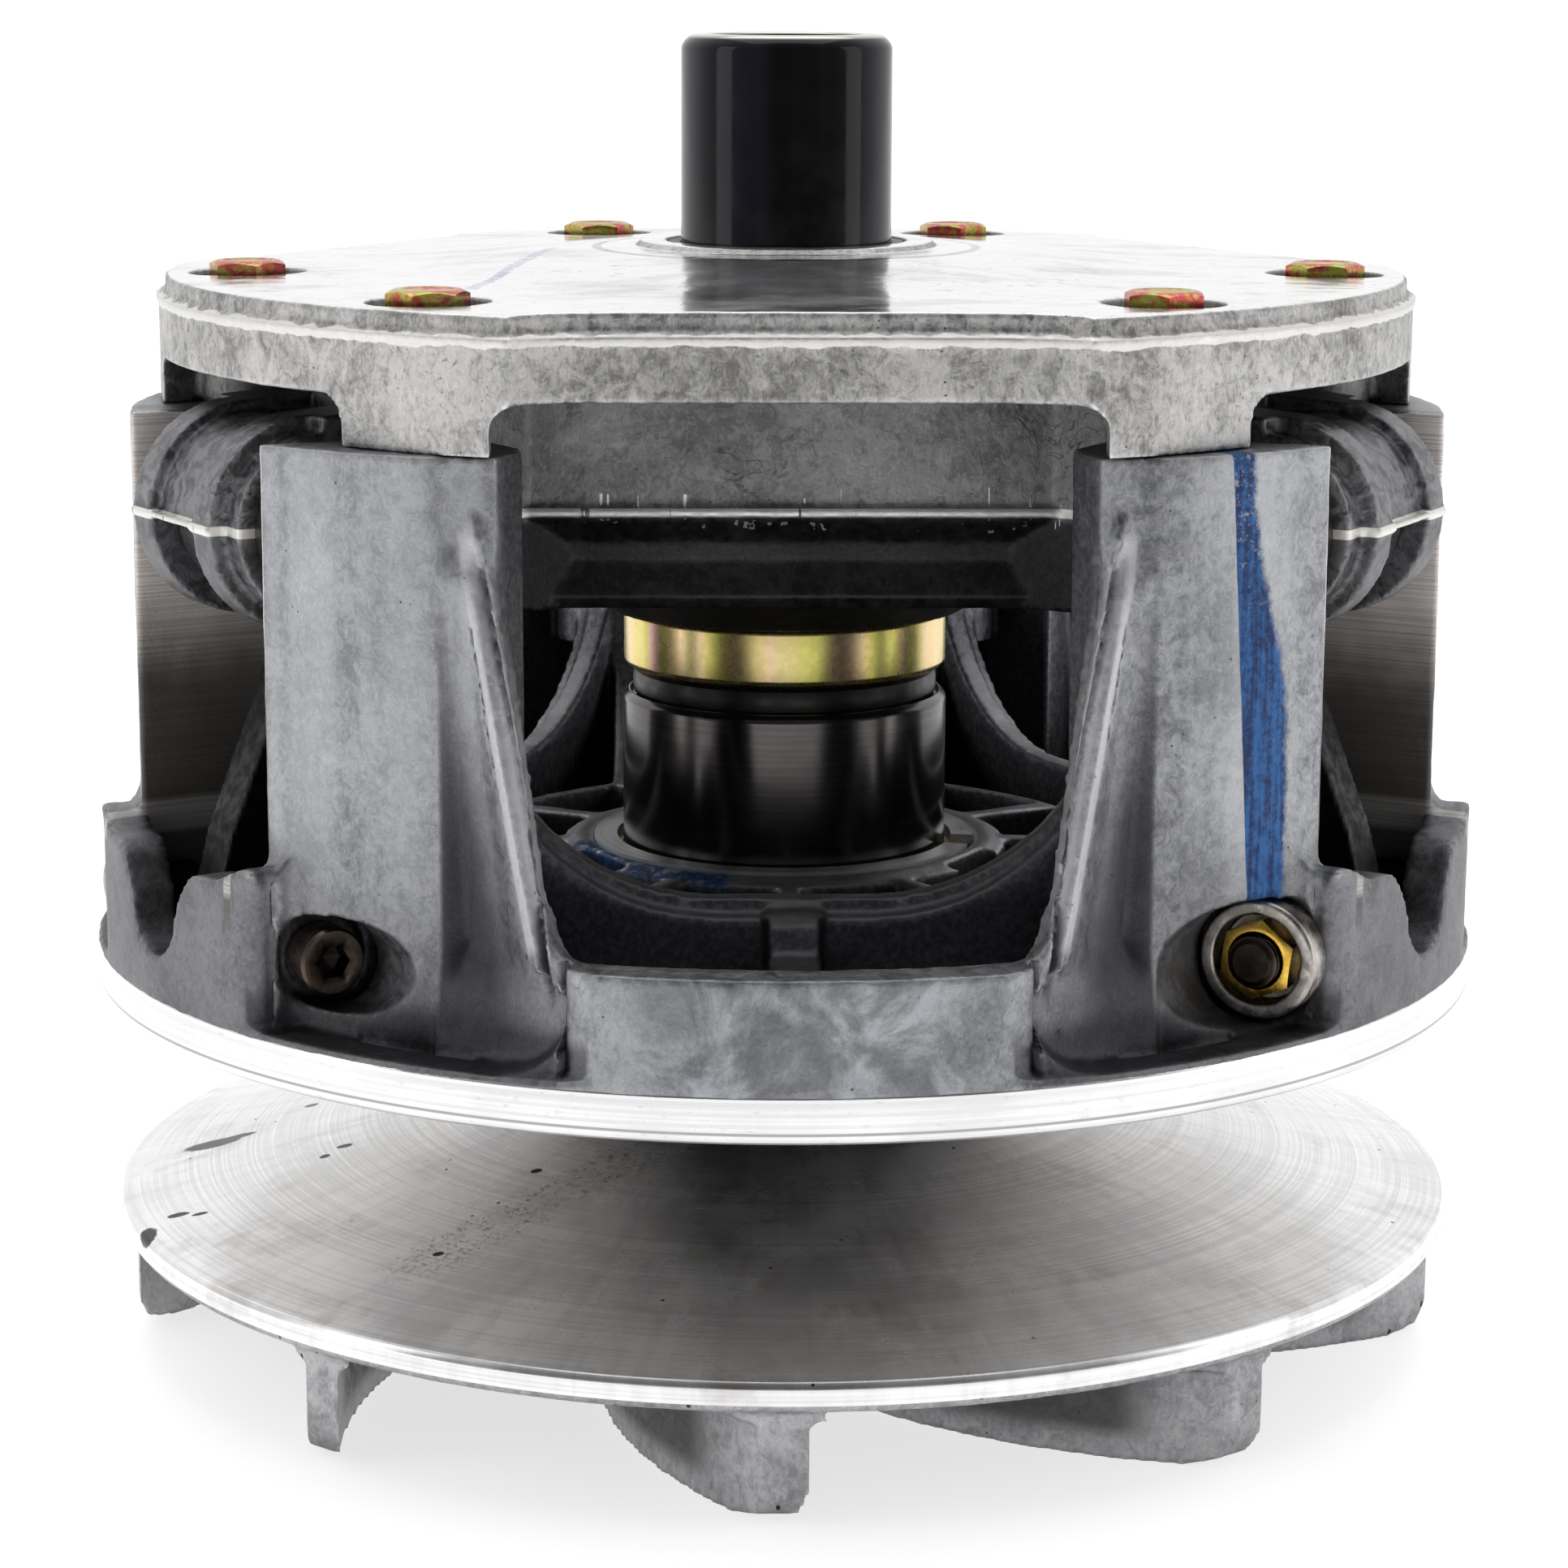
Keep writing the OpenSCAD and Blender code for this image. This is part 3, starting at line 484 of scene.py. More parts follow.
def spider_look():
    """Spider: dark casting, painted near black as shade below a bright trimmed parting line with small chatter
    marks.
    """
    look = Look("spider_casting", 0.9)
    colour = cast_base(look, (0.13, 0.132, 0.135), (0.34, 0.342, 0.345))
    arms = look.step(look.r, 66, 80)
    blotched = look.mix((0.13, 0.132, 0.14), (0.30, 0.303, 0.315), look.step(look.patch, 0.4, 0.6))
    colour = look.mix(colour, blotched, arms)
    # painted shade below the parting line, strongest towards the hub
    under_shade = look.both(look.step(look.z, 139, 141, 1, 0), look.step(look.r, 60, 90, 1, 0.35))
    colour = look.mix(colour, (0.012, 0.012, 0.014), look.scale(under_shade, 0.85))
    veins = look.veins(look.noise(0.11, 3, 0.6, distort=1.2), 0.003, 0.018, 0.6)
    few = look.step(look.noise(0.05, 2, shift=(9, 0, 4)), 0.50, 0.60)
    colour = look.mix(colour, (0.03, 0.03, 0.03), look.both(veins, few, look.step(look.z, 141, 144)))
    colour = cast_wear(look, colour, 6, 0.6, 0.30, (0.8, 0.8, 0.8))
    wander = look.blend_of((1, look.z), (9, look.noise(0.12, 1)))
    ticks = look.both(look.step(look.noise(0.8, 2, 0.5, stretch=(1, 1, 0.04)), 0.655, 0.68),
                      look.band(wander, 143.5, 147.5, 0.4), look.step(look.r, 78, 82, 1, 0))
    line = look.both(look.band(look.z, 140.35, 141.65, 0.15),
                     look.step(look.noise(0.7, 2, stretch=(1, 1, 0)), 0.3, 0.36))
    colour = look.mix(colour, (0.85, 0.83, 0.79), look.either(line, ticks))
    cast_relief(look, 0.06)
    return look.finish(colour, look.step(look.patch, 0.35, 0.65, 0.36, 0.56))


def cover_look():
    """Cover: coarse mottled skirt, trimmed parting line and lower edge, top polished by handling."""
    look = Look("bright_casting", 0.9)
    up = look.facing_up()
    colour = cast_base(look, (0.20, 0.196, 0.191), (0.64, 0.632, 0.622), (0.39, 0.59))
    combed = look.noise(0.9, 5, 0.7, stretch=(1, 1, 0.25))
    colour = look.mix(colour, (0.88, 0.87, 0.86), look.step(combed, 0.52, 0.72, 0.0, 0.25))
    specks = look.both(look.step(look.noise(1.1, 4, 0.7), 0.60, 0.68),
                       look.step(look.noise(0.10, 2), 0.42, 0.6))
    colour = look.mix(colour, (0.03, 0.03, 0.03), look.scale(specks, 0.7))
    # trimmed edges
    flash = look.band(look.blend_of((1, look.z), (1.6, look.noise(0.25, 3))), 171.7, 173.2, 0.25)
    foot = look.both(look.step(look.edge(0.51, 0.57), 0, 1), look.step(look.z, 165, 167, 1, 0))
    colour = cast_wear(look, colour, 5, 0.7, 0.40)
    colour = look.mix(colour, (0.90, 0.89, 0.87), look.scale(look.either(flash, foot), 0.75))
    # the polished top
    top = look.both(look.step(up, 0.80, 0.95), look.step(look.z, 172.6, 173.0))
    smudge = look.step(look.noise(0.035, 6, 0.62, stretch=(1, 1.8, 1)), 0.50, 0.66)
    polish = look.mix((0.90, 0.895, 0.90), (0.55, 0.54, 0.54), look.scale(smudge, 0.8))
    scuffs = look.veins(look.noise(0.16, 2, stretch=(0.5, 1.6, 1), distort=0.8), 0.002, 0.008, 0.7)
    polish = look.mix(polish, (0.35, 0.34, 0.34), scuffs)
    ring_line = look.either(look.band(look.r, 30.6, 31.8, 0.3), look.band(look.r, 24.0, 24.7, 0.2))
    polish = look.mix(polish, (0.12, 0.115, 0.11), look.scale(ring_line, 0.75))
    # violet marker stroke, from the rim towards the hub
    run = look.blend_of((0.979, look.x), (-0.2, look.y))
    stroke = look.both(look.band(look.blend_of((1, run), (2.2, look.noise(0.4, 3))), -37.9, -36.1, 0.3),
                       look.band(look.y, -50, 1, 3), look.step(look.noise(0.7, 4, 0.7), 0.38, 0.55, 0.3, 1))
    polish = look.mix(polish, (0.20, 0.16, 0.42), look.scale(stroke, 0.75))
    # painted shadow on the bolt seats round the heads
    seat_shadow = look.both(look.band(look.z, 172.0, 173.6, 0.3), look.step(up, 0.8, 0.9))
    polish = look.mix(polish, (0.16, 0.15, 0.145), look.scale(seat_shadow, 0.8))
    colour = look.mix(colour, polish, top)
    rough = look.step(look.patch, 0.35, 0.65, 0.42, 0.60)
    shiny = look.step(look.noise(0.05, 5, 0.6), 0.35, 0.7, 0.10, 0.24)
    rough = look.lerp(rough, shiny, top)
    look.bump(look.noise(0.16, 3, 0.5), 0.25, 0.4)
    coarse = look.blend_of((0.5, look.patch), (0.5, combed))
    look.bump(look.both(coarse, look.step(top, 0, 1, 1, 0.06)), 0.30, 0.6)
    look.bump(look.both(look.noise(2.2, 3), look.step(top, 0, 1, 1, 0.1)), 0.06, 0.6)
    return look.finish(colour, rough)


def turned_look(name, colour, roughness, depth=0.006, stains=0.0, lines=2.2):
    """Lathe-turned metal: fine rings, slow smudges and faint stains."""
    look = Look(name, 1.0)
    rings = look.turned(lines)
    fine = look.turned(lines * 4)
    smudge = look.noise(0.05, 5, 0.6)
    tone = look.step(look.blend_of((0.5, rings), (0.5, smudge)), 0.40, 0.60)
    look.base = look.mix(tuple(c * 0.80 for c in colour), colour, tone)
    if stains:
        brown = look.both(look.step(look.noise(0.06, 5, 0.65, shift=(7, 3, 0)), 0.50, 0.68),
                          look.step(look.round_noise(0.5), 0.3, 0.6))
        look.base = look.mix(look.base, (0.34, 0.27, 0.20), look.math("MULTIPLY", brown, stains))
    look.bump(look.blend_of((0.6, rings), (0.4, fine)), depth, 0.6)
    return look.finish(look.base, look.step(smudge, 0.35, 0.7, roughness * 0.8, roughness * 1.3))


def belt_face_look():
    """Fixed sheave's turned face: rings, brown stains, scattered black dents and a chip at the rim."""
    look = turned_look("turned_sheave", (0.97, 0.97, 0.975), 0.26, 0.002, 0.30)
    dents = look.both(look.step(look.cells(0.16), 0.035, 0.06, 1.0, 0.0),
                      look.step(look.noise(0.03, 2), 0.48, 0.55))
    chips = (((-97.5, -2.0, 26.2), (5.5, 2.4, 3)), ((-93.0, -0.6, 27.0), (3.2, 1.2, 3)),
             ((-76.5, -22.6, 30.2), (0.9, 0.9, 3)), ((-73.4, -19.5, 31.1), (1.3, 0.9, 3)),
             ((-81.7, 9.8, 29.6), (1.3, 1.0, 3)), ((-99.2, -36.0, 24.4), (1.8, 1.0, 3)),
             ((-95.5, -37.5, 24.6), (1.4, 0.7, 3)), ((-103.6, -42.8, 22.9), (1.8, 3.6, 1.6)),
             ((-54.9, -68.7, 28.4), (0.9, 0.7, 3)), ((-40.5, -45.2, 34.5), (1.0, 0.8, 3)))
    for at, size in chips:
        dents = look.either(dents, look.spot(at, size, 0.5, 0.6))
    # painted reflection: faint dark radial streaks standing in for the turned face's sheen
    reflection_streaks = look.step(look.round_noise(0.9, 0.02, 4), 0.45, 0.62)
    shade = look.mix(look.base, (0.45, 0.44, 0.44), look.scale(reflection_streaks, 0.12))
    # a drag of small scratches across the left half
    along = look.blend_of((-0.776, look.x), (-0.629, look.y), (4, look.noise(0.1, 2)))
    across = look.blend_of((0.629, look.x), (-0.776, look.y), (5, look.noise(0.12, 3)))
    drag = look.both(look.band(along, 50, 90, 10), look.band(across, 17.5, 25, 3),
                     look.step(look.noise(0.9, 6, 0.8, distort=0.6), 0.52, 0.62))
    shade = look.mix(shade, (0.10, 0.095, 0.09), look.scale(drag, 0.75))
    return look.finish(look.mix(shade, (0.025, 0.025, 0.025), dents))


def rim_look():
    """Moving sheave's turned band and face: near white, with a dark step near its lower edge."""
    look = turned_look("turned_band", (0.93, 0.93, 0.935), 0.26, 0.006, 0.0, 1.4)
    groove = look.both(look.band(look.z, RIM_Z + 1.3, RIM_Z + 1.6, 0.12), look.step(look.r, 113, 114))
    scuff = look.both(look.step(look.noise(0.5, 4, 0.7, stretch=(1, 1, 3)), 0.60, 0.68),
                      look.step(look.r, 113, 114))
    marks = look.either(look.scale(groove, 0.8), look.scale(scuff, 0.25))
    shade = look.mix(look.base, (0.30, 0.30, 0.30), marks)
    shade = look.mix((0.52, 0.51, 0.50), shade, look.step(look.r, 113, 114.4))
    return look.finish(shade)


def post_look():
    """Gloss black coating with soft brown and blue casts, worn to bright steel on the end face."""
    look = Look("black_steel", 0.0)
    cast = look.round_noise(0.03, 0.05, 2)
    tint = look.mix((0.006, 0.0055, 0.006), (0.014, 0.012, 0.020), look.step(cast, 0.4, 0.6))
    tint = look.mix(tint, (0.05, 0.045, 0.045), look.step(look.noise(1.8, 4, 0.8), 0.66, 0.74, 0.0, 0.4))
    bare = look.both(look.step(look.facing_up(), 0.7, 0.9), look.step(look.z, 210, 212))
    tint = look.mix(tint, (0.62, 0.60, 0.56), look.scale(bare, 0.95))
    look.shader.inputs["Specular IOR Level"].default_value = 0.22
    look.bump(look.noise(0.25, 3), 0.03, 0.2)
    return look.finish(tint, look.step(look.noise(0.2, 4), 0.35, 0.7, 0.07, 0.16), bare)


def zinc_look(name, vertical=False, plain=False):
    """Yellow chromate over zinc: gold that drifts to green and magenta, in upright bands on turned pieces,
    with painted shade in the crevices of the others.
    """
    look = Look(name, 1.0)
    if vertical:
        drift = look.blend_of((0.985, look.round_noise(0.045, 0.02, 1)), (0.015, look.noise(0.4, 4)))
    else:
        drift = look.blend_of((0.65, look.noise(0.11, 3, 0.5, distort=1.5)), (0.35, look.noise(0.55, 4, 0.6)))
    if plain:
        stops = [(0.30, (0.70, 0.42, 0.05)), (0.50, (0.86, 0.56, 0.10)), (0.66, (0.62, 0.36, 0.05))]
    elif vertical:
        stops = [(0.30, (0.62, 0.62, 0.12)), (0.40, (0.74, 0.66, 0.22)), (0.47, (0.90, 0.66, 0.40)),
                 (0.54, (0.82, 0.66, 0.24)), (0.62, (0.62, 0.60, 0.14)), (0.72, (0.84, 0.50, 0.42))]
    else:
        stops = [(0.36, (0.62, 0.40, 0.12)), (0.44, (0.50, 0.07, 0.09)), (0.50, (0.58, 0.20, 0.08)),
                 (0.54, (0.36, 0.48, 0.07)), (0.58, (0.60, 0.42, 0.12)), (0.65, (0.48, 0.07, 0.12))]
    colour = look.ramp(drift, stops)
    # painted shade: darker in the crevices, none on the turned pieces
    crevice_shade = look.step(look.crevice(2), 0.2, 0.7, 0.0 if vertical else 0.6, 0.0)
    colour = look.mix(colour, (0.04, 0.03, 0.02), crevice_shade)
    worn = look.step(look.noise(0.9, 4, 0.7), 0.62, 0.72, 0.0, 0.04 if vertical else 0.30)
    colour = look.mix(colour, (0.80, 0.76, 0.62), worn)
    if not vertical:
        look.bump(look.noise(2.6, 3), 0.02, 0.5)
    spread = 0.02 if vertical else 0.07
    return look.finish(colour, look.step(look.noise(0.8, 4), 0.3, 0.7, 0.27 - spread, 0.27 + spread))


def oiled_look(name, colour, edge_colour, roughness=0.32, grime_and_shade=0.8):
    """Blackened steel with an oil film, rubbed corners, and painted shade with grime in the crevices."""
    look = Look(name, 1.0)
    film = look.step(look.noise(0.22, 5, 0.65), 0.38, 0.62)
    tone = look.mix(tuple(c * 0.55 for c in colour), colour, film)
    tone = look.mix(tone, edge_colour, look.scale(look.edge(0.51, 0.58), 0.7))
    # painted shade and grime: near black in the crevices
    tone = look.mix(tone, (0.01, 0.01, 0.01), look.step(look.crevice(2.0), 0.25, 0.85, grime_and_shade, 0.0))
    look.bump(look.noise(1.8, 4), 0.025, 0.5)
    return look.finish(tone, look.step(look.noise(0.5, 4), 0.3, 0.7, roughness * 0.7, roughness * 1.4))


def moulded_look(name, colour, roughness, depth=0.02, gloss=0.0):
    """Rubber, plastic or paint: even colour with dust, fine grain and handling marks."""
    look = Look(name, 0.0)
    dust = look.both(look.step(look.noise(0.3, 5, 0.7), 0.50, 0.70),
                     look.step(look.noise(3.0, 3), 0.40, 0.65))
    tone = look.mix(colour, tuple(min(1, c * 1.8 + 0.02) for c in colour), look.scale(dust, 0.6))
    look.bump(look.noise(3.2, 3), depth, 0.5)
    look.shader.inputs["Coat Weight"].default_value = gloss
    return look.finish(tone, look.step(look.noise(0.4, 4), 0.3, 0.7, roughness * 0.8, roughness * 1.25))


# ---------------------------------------------------------------- meshes
def add_mesh(name, mesh, mat, body=None, replaces=()):
    """Makes a visible piece out of points and faces, smooth but for its sharp edges."""
    points, faces = mesh
    data = bpy.data.meshes.new(name)
    data.from_pydata([tuple(p) for p in points], [], faces)
    data.validate()
    data.update()
    for p in data.polygons:
        p.use_smooth = True
    data.set_sharp_from_angle(angle=SHARP_ANGLE)
    data.materials.append(mat)
    piece = bpy.data.objects.new(name, data)
    bpy.context.scene.collection.objects.link(piece)
    if body:
        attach(piece, body)
    if replaces:
        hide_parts(*replaces)
    return piece


def join(*meshes):
    """Several meshes as one."""
    points, faces = [], []
    for more, some in meshes:
        at = len(points)
        points += more
        faces += [tuple(i + at for i in f) for f in some]
    return points, faces


def skin(rings, closed, place=None):
    """Points and faces through rings of (radius, height) in mm, one pair per angle round local Z.
    A closed skin joins its last ring to its first; an open one is capped at both ends."""
    n, m = len(rings[0]), len(rings)
    points = []
    for ring in rings:
        for k, (r, z) in enumerate(ring):
            a = 2 * math.pi * k / n
            p = Vector((r * math.cos(a), r * math.sin(a), z)) * MM
            points.append(place @ p if place else p)
    faces = []
    for i in range(m if closed else m - 1):
        j = (i + 1) % m
        for k in range(n):
            l = (k + 1) % n
            faces.append((i * n + k, i * n + l, j * n + l, j * n + k))
    if not closed:
        faces.append(tuple(reversed(range(n))))
        faces.append(tuple((m - 1) * n + k for k in range(n)))
    return points, faces


def rounded(profile, radius, steps=3, closed=True):
    """The profile with each corner rounded."""
    out = []
    m = len(profile)
    for i in range(m):
        if not closed and i in (0, m - 1):
            out.append(tuple(profile[i]))
            continue
        a, b, c = (Vector(profile[j % m]) for j in (i - 1, i, i + 1))
        u, v = (a - b), (c - b)
        cut = min(radius, u.length * 0.45, v.length * 0.45)
        p, q = b + u.normalized() * cut, b + v.normalized() * cut
        for s in range(steps + 1):
            t = s / steps
            out.append(tuple(p * (1 - t) ** 2 + b * (2 * t * (1 - t)) + q * t ** 2))
    return out


def turned(profile, place=None, radius=0.4, n=128, closed=True):
    """A turned piece: the profile is a loop of (radius, height) off the axis, or capped at both ends."""
    loop = rounded(profile, radius, closed=closed) if radius else profile
    return skin([[p] * n for p in loop], closed, place)


def hex_radius(flats, k, n):
    a = (2 * math.pi * k / n) % (math.pi / 3) - math.pi / 6
    return flats / 2 / math.cos(a)


def hex_ring(flats, z, n=96, ease=0.0, dip=0.0):
    """A hexagon ring; ease pulls its corners in, dip lowers them as a chamfer does."""
    ring = []
    for k in range(n):
        r = hex_radius(flats, k, n)
        over = r - flats / 2
        ring.append((r - over * ease, z - over * dip))
    return ring


def circle_ring(r, z, n=96):
    return [(r, z)] * n


def hex_nut(flats, z0, z1, bore, place=None):
    """A chamfered nut with a countersunk bore."""
    rings = [circle_ring(bore, z0 + 0.5), circle_ring(bore + 0.5, z0), circle_ring(flats / 2 - 0.3, z0),
             hex_ring(flats, z0 + 0.15, dip=-0.45, ease=0.04),
             hex_ring(flats, z1 - 0.15, dip=0.45, ease=0.04),
             circle_ring(flats / 2 - 0.3, z1), circle_ring(bore + 0.5, z1), circle_ring(bore, z1 - 0.5)]
    return skin(rings, True, place)


def thread_rings(r, depth, pitch, z0, z1, n=48):
    """Rings of a screw thread from z0 up to z1."""
    rings = []
    count = max(8, int((z1 - z0) / pitch * 6))
    for i in range(count + 1):
        z = z0 + (z1 - z0) * i / count
        fade = min(1, i / 4, (count - i) / 4)
        rings.append([(r - depth * (0.5 + 0.5 * math.cos(2 * math.pi * (z / pitch - k / n))) * fade, z)
                      for k in range(n)])
    return rings


def coil(radius, wire, z0, z1, turns, steps=72, sides=20):
    """A coil spring whose ends lie flat, as one closed skin."""
    count = turns * steps
    rise = z1 - z0 - wire
    points = []
    for i in range(count + 1):
        t = i / count
        a = 2 * math.pi * turns * t
        z = z0 + wire / 2 + rise * t
        taper = min(1, (i + 6) / 18, (count - i + 6) / 18)
        for k in range(sides):
            b = 2 * math.pi * k / sides
            r = radius + wire / 2 * math.cos(b)
            points.append(Vector((r * math.cos(a), r * math.sin(a), z + wire / 2 * taper * math.sin(b))) * MM)
    faces = [(i * sides + k, i * sides + (k + 1) % sides, (i + 1) * sides + (k + 1) % sides,
              (i + 1) * sides + k)
             for i in range(count) for k in range(sides)]
    faces.append(tuple(reversed(range(sides))))
    faces.append(tuple(count * sides + k for k in range(sides)))
    return points, faces


def arm_place(phi, reach, height, along=1):
    """Local Z along the tangent at an arm, or against it, and local X outward."""
    a = math.radians(phi)
    out = Vector((math.cos(a), math.sin(a), 0))
    side = Vector((-math.sin(a), math.cos(a), 0)) * along
    rot = Matrix((out, side.cross(out), side)).transposed().to_4x4()
    return Matrix.Translation(out * reach * MM + Vector((0, 0, height * MM))) @ rot


def cast_skin(node, mat, voxel, smooth=2, keep=0.5, grain=0.0):
    """Rounds a CAD node's edges as a casting's are, by modifiers, and gives it its material."""
    obj = nodes[node]
    dress(node, mat)
    for p in obj.data.polygons:
        p.use_smooth = True
    obj.modifiers.new("weld", "WELD").merge_threshold = 0.00001
    mod = obj.modifiers.new("skin", "REMESH")
    mod.mode, mod.voxel_size, mod.use_smooth_shade = "VOXEL", voxel * MM, True
    mod = obj.modifiers.new("soften", "SMOOTH")
    mod.factor, mod.iterations = 0.5, smooth
    if grain:
        texture = bpy.data.textures.new(node + "_grain", "CLOUDS")
        texture.noise_scale, texture.noise_depth = 0.006, 3
        mod = obj.modifiers.new("grain", "DISPLACE")
        mod.texture, mod.strength, mod.mid_level, mod.texture_coords = texture, grain * MM, 0.8, "LOCAL"
    if keep < 1:
        obj.modifiers.new("lighten", "DECIMATE").ratio = keep


def ease(value, low, high):
    """Smooth rise from 0 to 1 between two values."""
    t = np.clip((value - low) / (high - low), 0, 1)
    return t * t * (3 - 2 * t)


def tower_valleys(points, normals):
    """Hollows the panel between a tower's ridge and its gusset rib, and rounds the outer wall's ends."""
    x, y, z = points.T
    r = np.hypot(x, y)
    turn = np.degrees(np.arctan2(y, x)) - ARMS[0]
    b = np.abs((turn + 60) % 120 - 60)
    outward = (normals[:, 0] * x + normals[:, 1] * y) / r
    rib = 31.9 + (141 - z) * 0.13
    crest = 102.0 + (141 - z) * 0.117
    u = np.clip((b - 29.3) / (rib - 29.3), 0, 1)
    depth = np.interp(z, [70, 84, 100, 120, 137], [3.6, 3.8, 3.0, 1.5, 0])
    floor = 103.4 + (crest - 103.4) * u - depth * ease(u, 0, 0.22) * (1 - ease(u, 0.55, 1.0) * 0.9)
    past = np.clip((b - rib) / 0.9, 0, 1.6)
    floor = np.where(b > rib, crest - 1.6 * past ** 2, floor)
    fade = ease(z, 76, 84) * (1 - ease(z, 137, 143)) * ease(b, 28.9, 29.3) * (1 - ease(b - rib, 1.0, 1.5))
    near = (r > 98.5) & ((outward > 0.2) | (r > floor - 1.0))
    moved = np.where(near, r + (floor - r) * fade, r)
    deep = ease(r, 107.5, 114.8) * ease(z, 67.0, 68.6)
    window_end = np.where(b > 42.2, np.clip((46.0 - b) / 3.5, 0, 1), 0) ** 2 * (1 - ease(z, 84.5, 86))
    arm_end = np.where(b < 15.3, np.clip((b - 12.5) / 2.5, 0, 1), 0) ** 2 * (1 - ease(z, 88, 92))
    moved -= deep * (2.4 * window_end + 1.8 * arm_end)
    out = points.copy()
    out[:, 0] *= moved / r
    out[:, 1] *= moved / r
    return out


def reshape(node, shift, body, keep):
    """Puts a copy of a softened CAD node, with its points moved by shift, in the node's place."""
    source = nodes[node]
    data = bpy.data.meshes.new_from_object(source.evaluated_get(bpy.context.evaluated_depsgraph_get()))
    data.transform(source.matrix_world)
    points = np.empty(len(data.vertices) * 3)
    normals = np.empty(len(data.vertices) * 3)
    data.vertices.foreach_get("co", points)
    data.vertices.foreach_get("normal", normals)
    moved = shift(points.reshape(-1, 3) / MM, normals.reshape(-1, 3)) * MM
    data.vertices.foreach_set("co", moved.ravel())
    data.update()
    source.modifiers.clear()
    piece = bpy.data.objects.new(node + "_skin", data)
    bpy.context.scene.collection.objects.link(piece)
    piece.modifiers.new("lighten", "DECIMATE").ratio = keep
    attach(piece, body)
    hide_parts(node)


def dress(node, mat):
    """Gives a CAD node its material."""
    obj = nodes[node]
    obj.data.materials.clear()
    obj.data.materials.append(mat)


# ---------------------------------------------------------------- the scene
make_camera()
make_light()
make_floor()

cast_skin("moving_sheave", sheave_look().mat, 0.72, 3, 1, 0.25)
reshape("moving_sheave", tower_valleys, "moving", 0.35)
cast_skin("cover", cover_look().mat, 0.55, 2, 0.30, 0.20)
cast_skin("spider", spider_look().mat, 0.5, 2, 0.40, 0.20)
cast_skin("fixed_sheave", fin_look().mat, 0.7, 2, 0.40, 0.20)

bright = turned_look("bright_steel", (1.0, 1.0, 1.0), 0.48)
hard = turned_look("hard_steel", (0.55, 0.55, 0.56), 0.20)
ground = turned_look("ground_steel", (0.125, 0.118, 0.115), 0.20, 0.003)
dark = oiled_look("dark_steel", (0.026, 0.021, 0.018), (0.15, 0.115, 0.09))
cup_steel = oiled_look("cup_steel", (0.60, 0.56, 0.52), (0.86, 0.78, 0.66), grime_and_shade=0.25)
bronze = turned_look("bronze", (0.55, 0.37, 0.18), 0.30)
zinc = zinc_look("yellow_zinc")
gold_zinc = zinc_look("yellow_zinc_turned", True)
nut_zinc = zinc_look("yellow_zinc_plain", plain=True)
rubber = moulded_look("black_rubber", (0.004, 0.004, 0.004), 0.35)
plastic = moulded_look("black_plastic", (0.013, 0.013, 0.013), 0.42)
paint = moulded_look("spring_paint", (0.02, 0.06, 0.20), 0.30, gloss=0.5)
weight_steel = oiled_look("weight_steel", (0.022, 0.022, 0.024), (0.09, 0.088, 0.085), 0.45)

# turned faces over the two castings
add_mesh("fixed_belt_face", turned([
    (27.6, 39.9), (111.6, 21.5), (111.9, 19.6), (112.62, 19.2), (112.62, 22.0), (112.1, 22.92),
    (33, FIXED_HUB_Z + 0.03), (27.6, FIXED_HUB_Z + 0.03)], n=256, radius=0.35),
    belt_face_look().mat, "fixed")
add_mesh("moving_belt_face", turned([
    (30.6, MOVING_LOW - 0.03), (33, MOVING_LOW - 0.03), (114.3, RIM_Z - 0.13), (114.88, RIM_Z + 0.4),
    (114.88, BAND_TOP - 0.3), (114.5, BAND_TOP + 0.12), (112.4, BAND_TOP - 0.5), (112.4, RIM_Z + 1),
    (33, MOVING_LOW + 1), (30.6, MOVING_LOW + 1)], n=256, radius=0.2),
    rim_look().mat, "moving")

# shaft stack
add_mesh("post_skin", turned([
    (15, 1.5), (16.6, 1.5), (POST_R, 2.2), (POST_R, 211.6), (15.6, 213.3), (13.0, 213.3), (12.4, 212.7),
    (12.4, 171.3), (7, 167.3), (7, 89.5), (10.6, 89.5)], radius=0.9, n=160),
    post_look().mat, "fixed", ["post"])
add_mesh("sleeve_skin", turned([
    (POST_R, FIXED_HUB_Z), (SLEEVE_R, FIXED_HUB_Z), (SLEEVE_R, 104.4), (26.0, SLEEVE_TOP),
    (25.6, SLEEVE_TOP - 1.4), (POST_R, SLEEVE_TOP - 1.4)], radius=0.5, n=160),
    ground.mat, "fixed", ["sleeve"])
add_mesh("o_ring_skin", turned([
    (POST_R, SLEEVE_TOP - 1.4), (25.4, SLEEVE_TOP - 1.4), (25.4, RING_TOP), (POST_R, RING_TOP)],
    radius=2.0, n=128), rubber.mat, "fixed", ["o_ring"])
add_mesh("collar_skin", turned([
    (POST_R, RING_TOP), (26.1, RING_TOP), (26.9, RING_TOP + 0.8), (26.9, SPIDER_LOW - 0.8),
    (26.1, SPIDER_LOW), (POST_R, SPIDER_LOW)], radius=0.4, n=160),
    gold_zinc.mat, "fixed", ["collar"])
add_mesh("jam_nut_skin", hex_nut(JAM_NUT_FLATS, NUT_Z, NUT_Z + 9, POST_R), dark.mat, "fixed", ["jam_nut"])

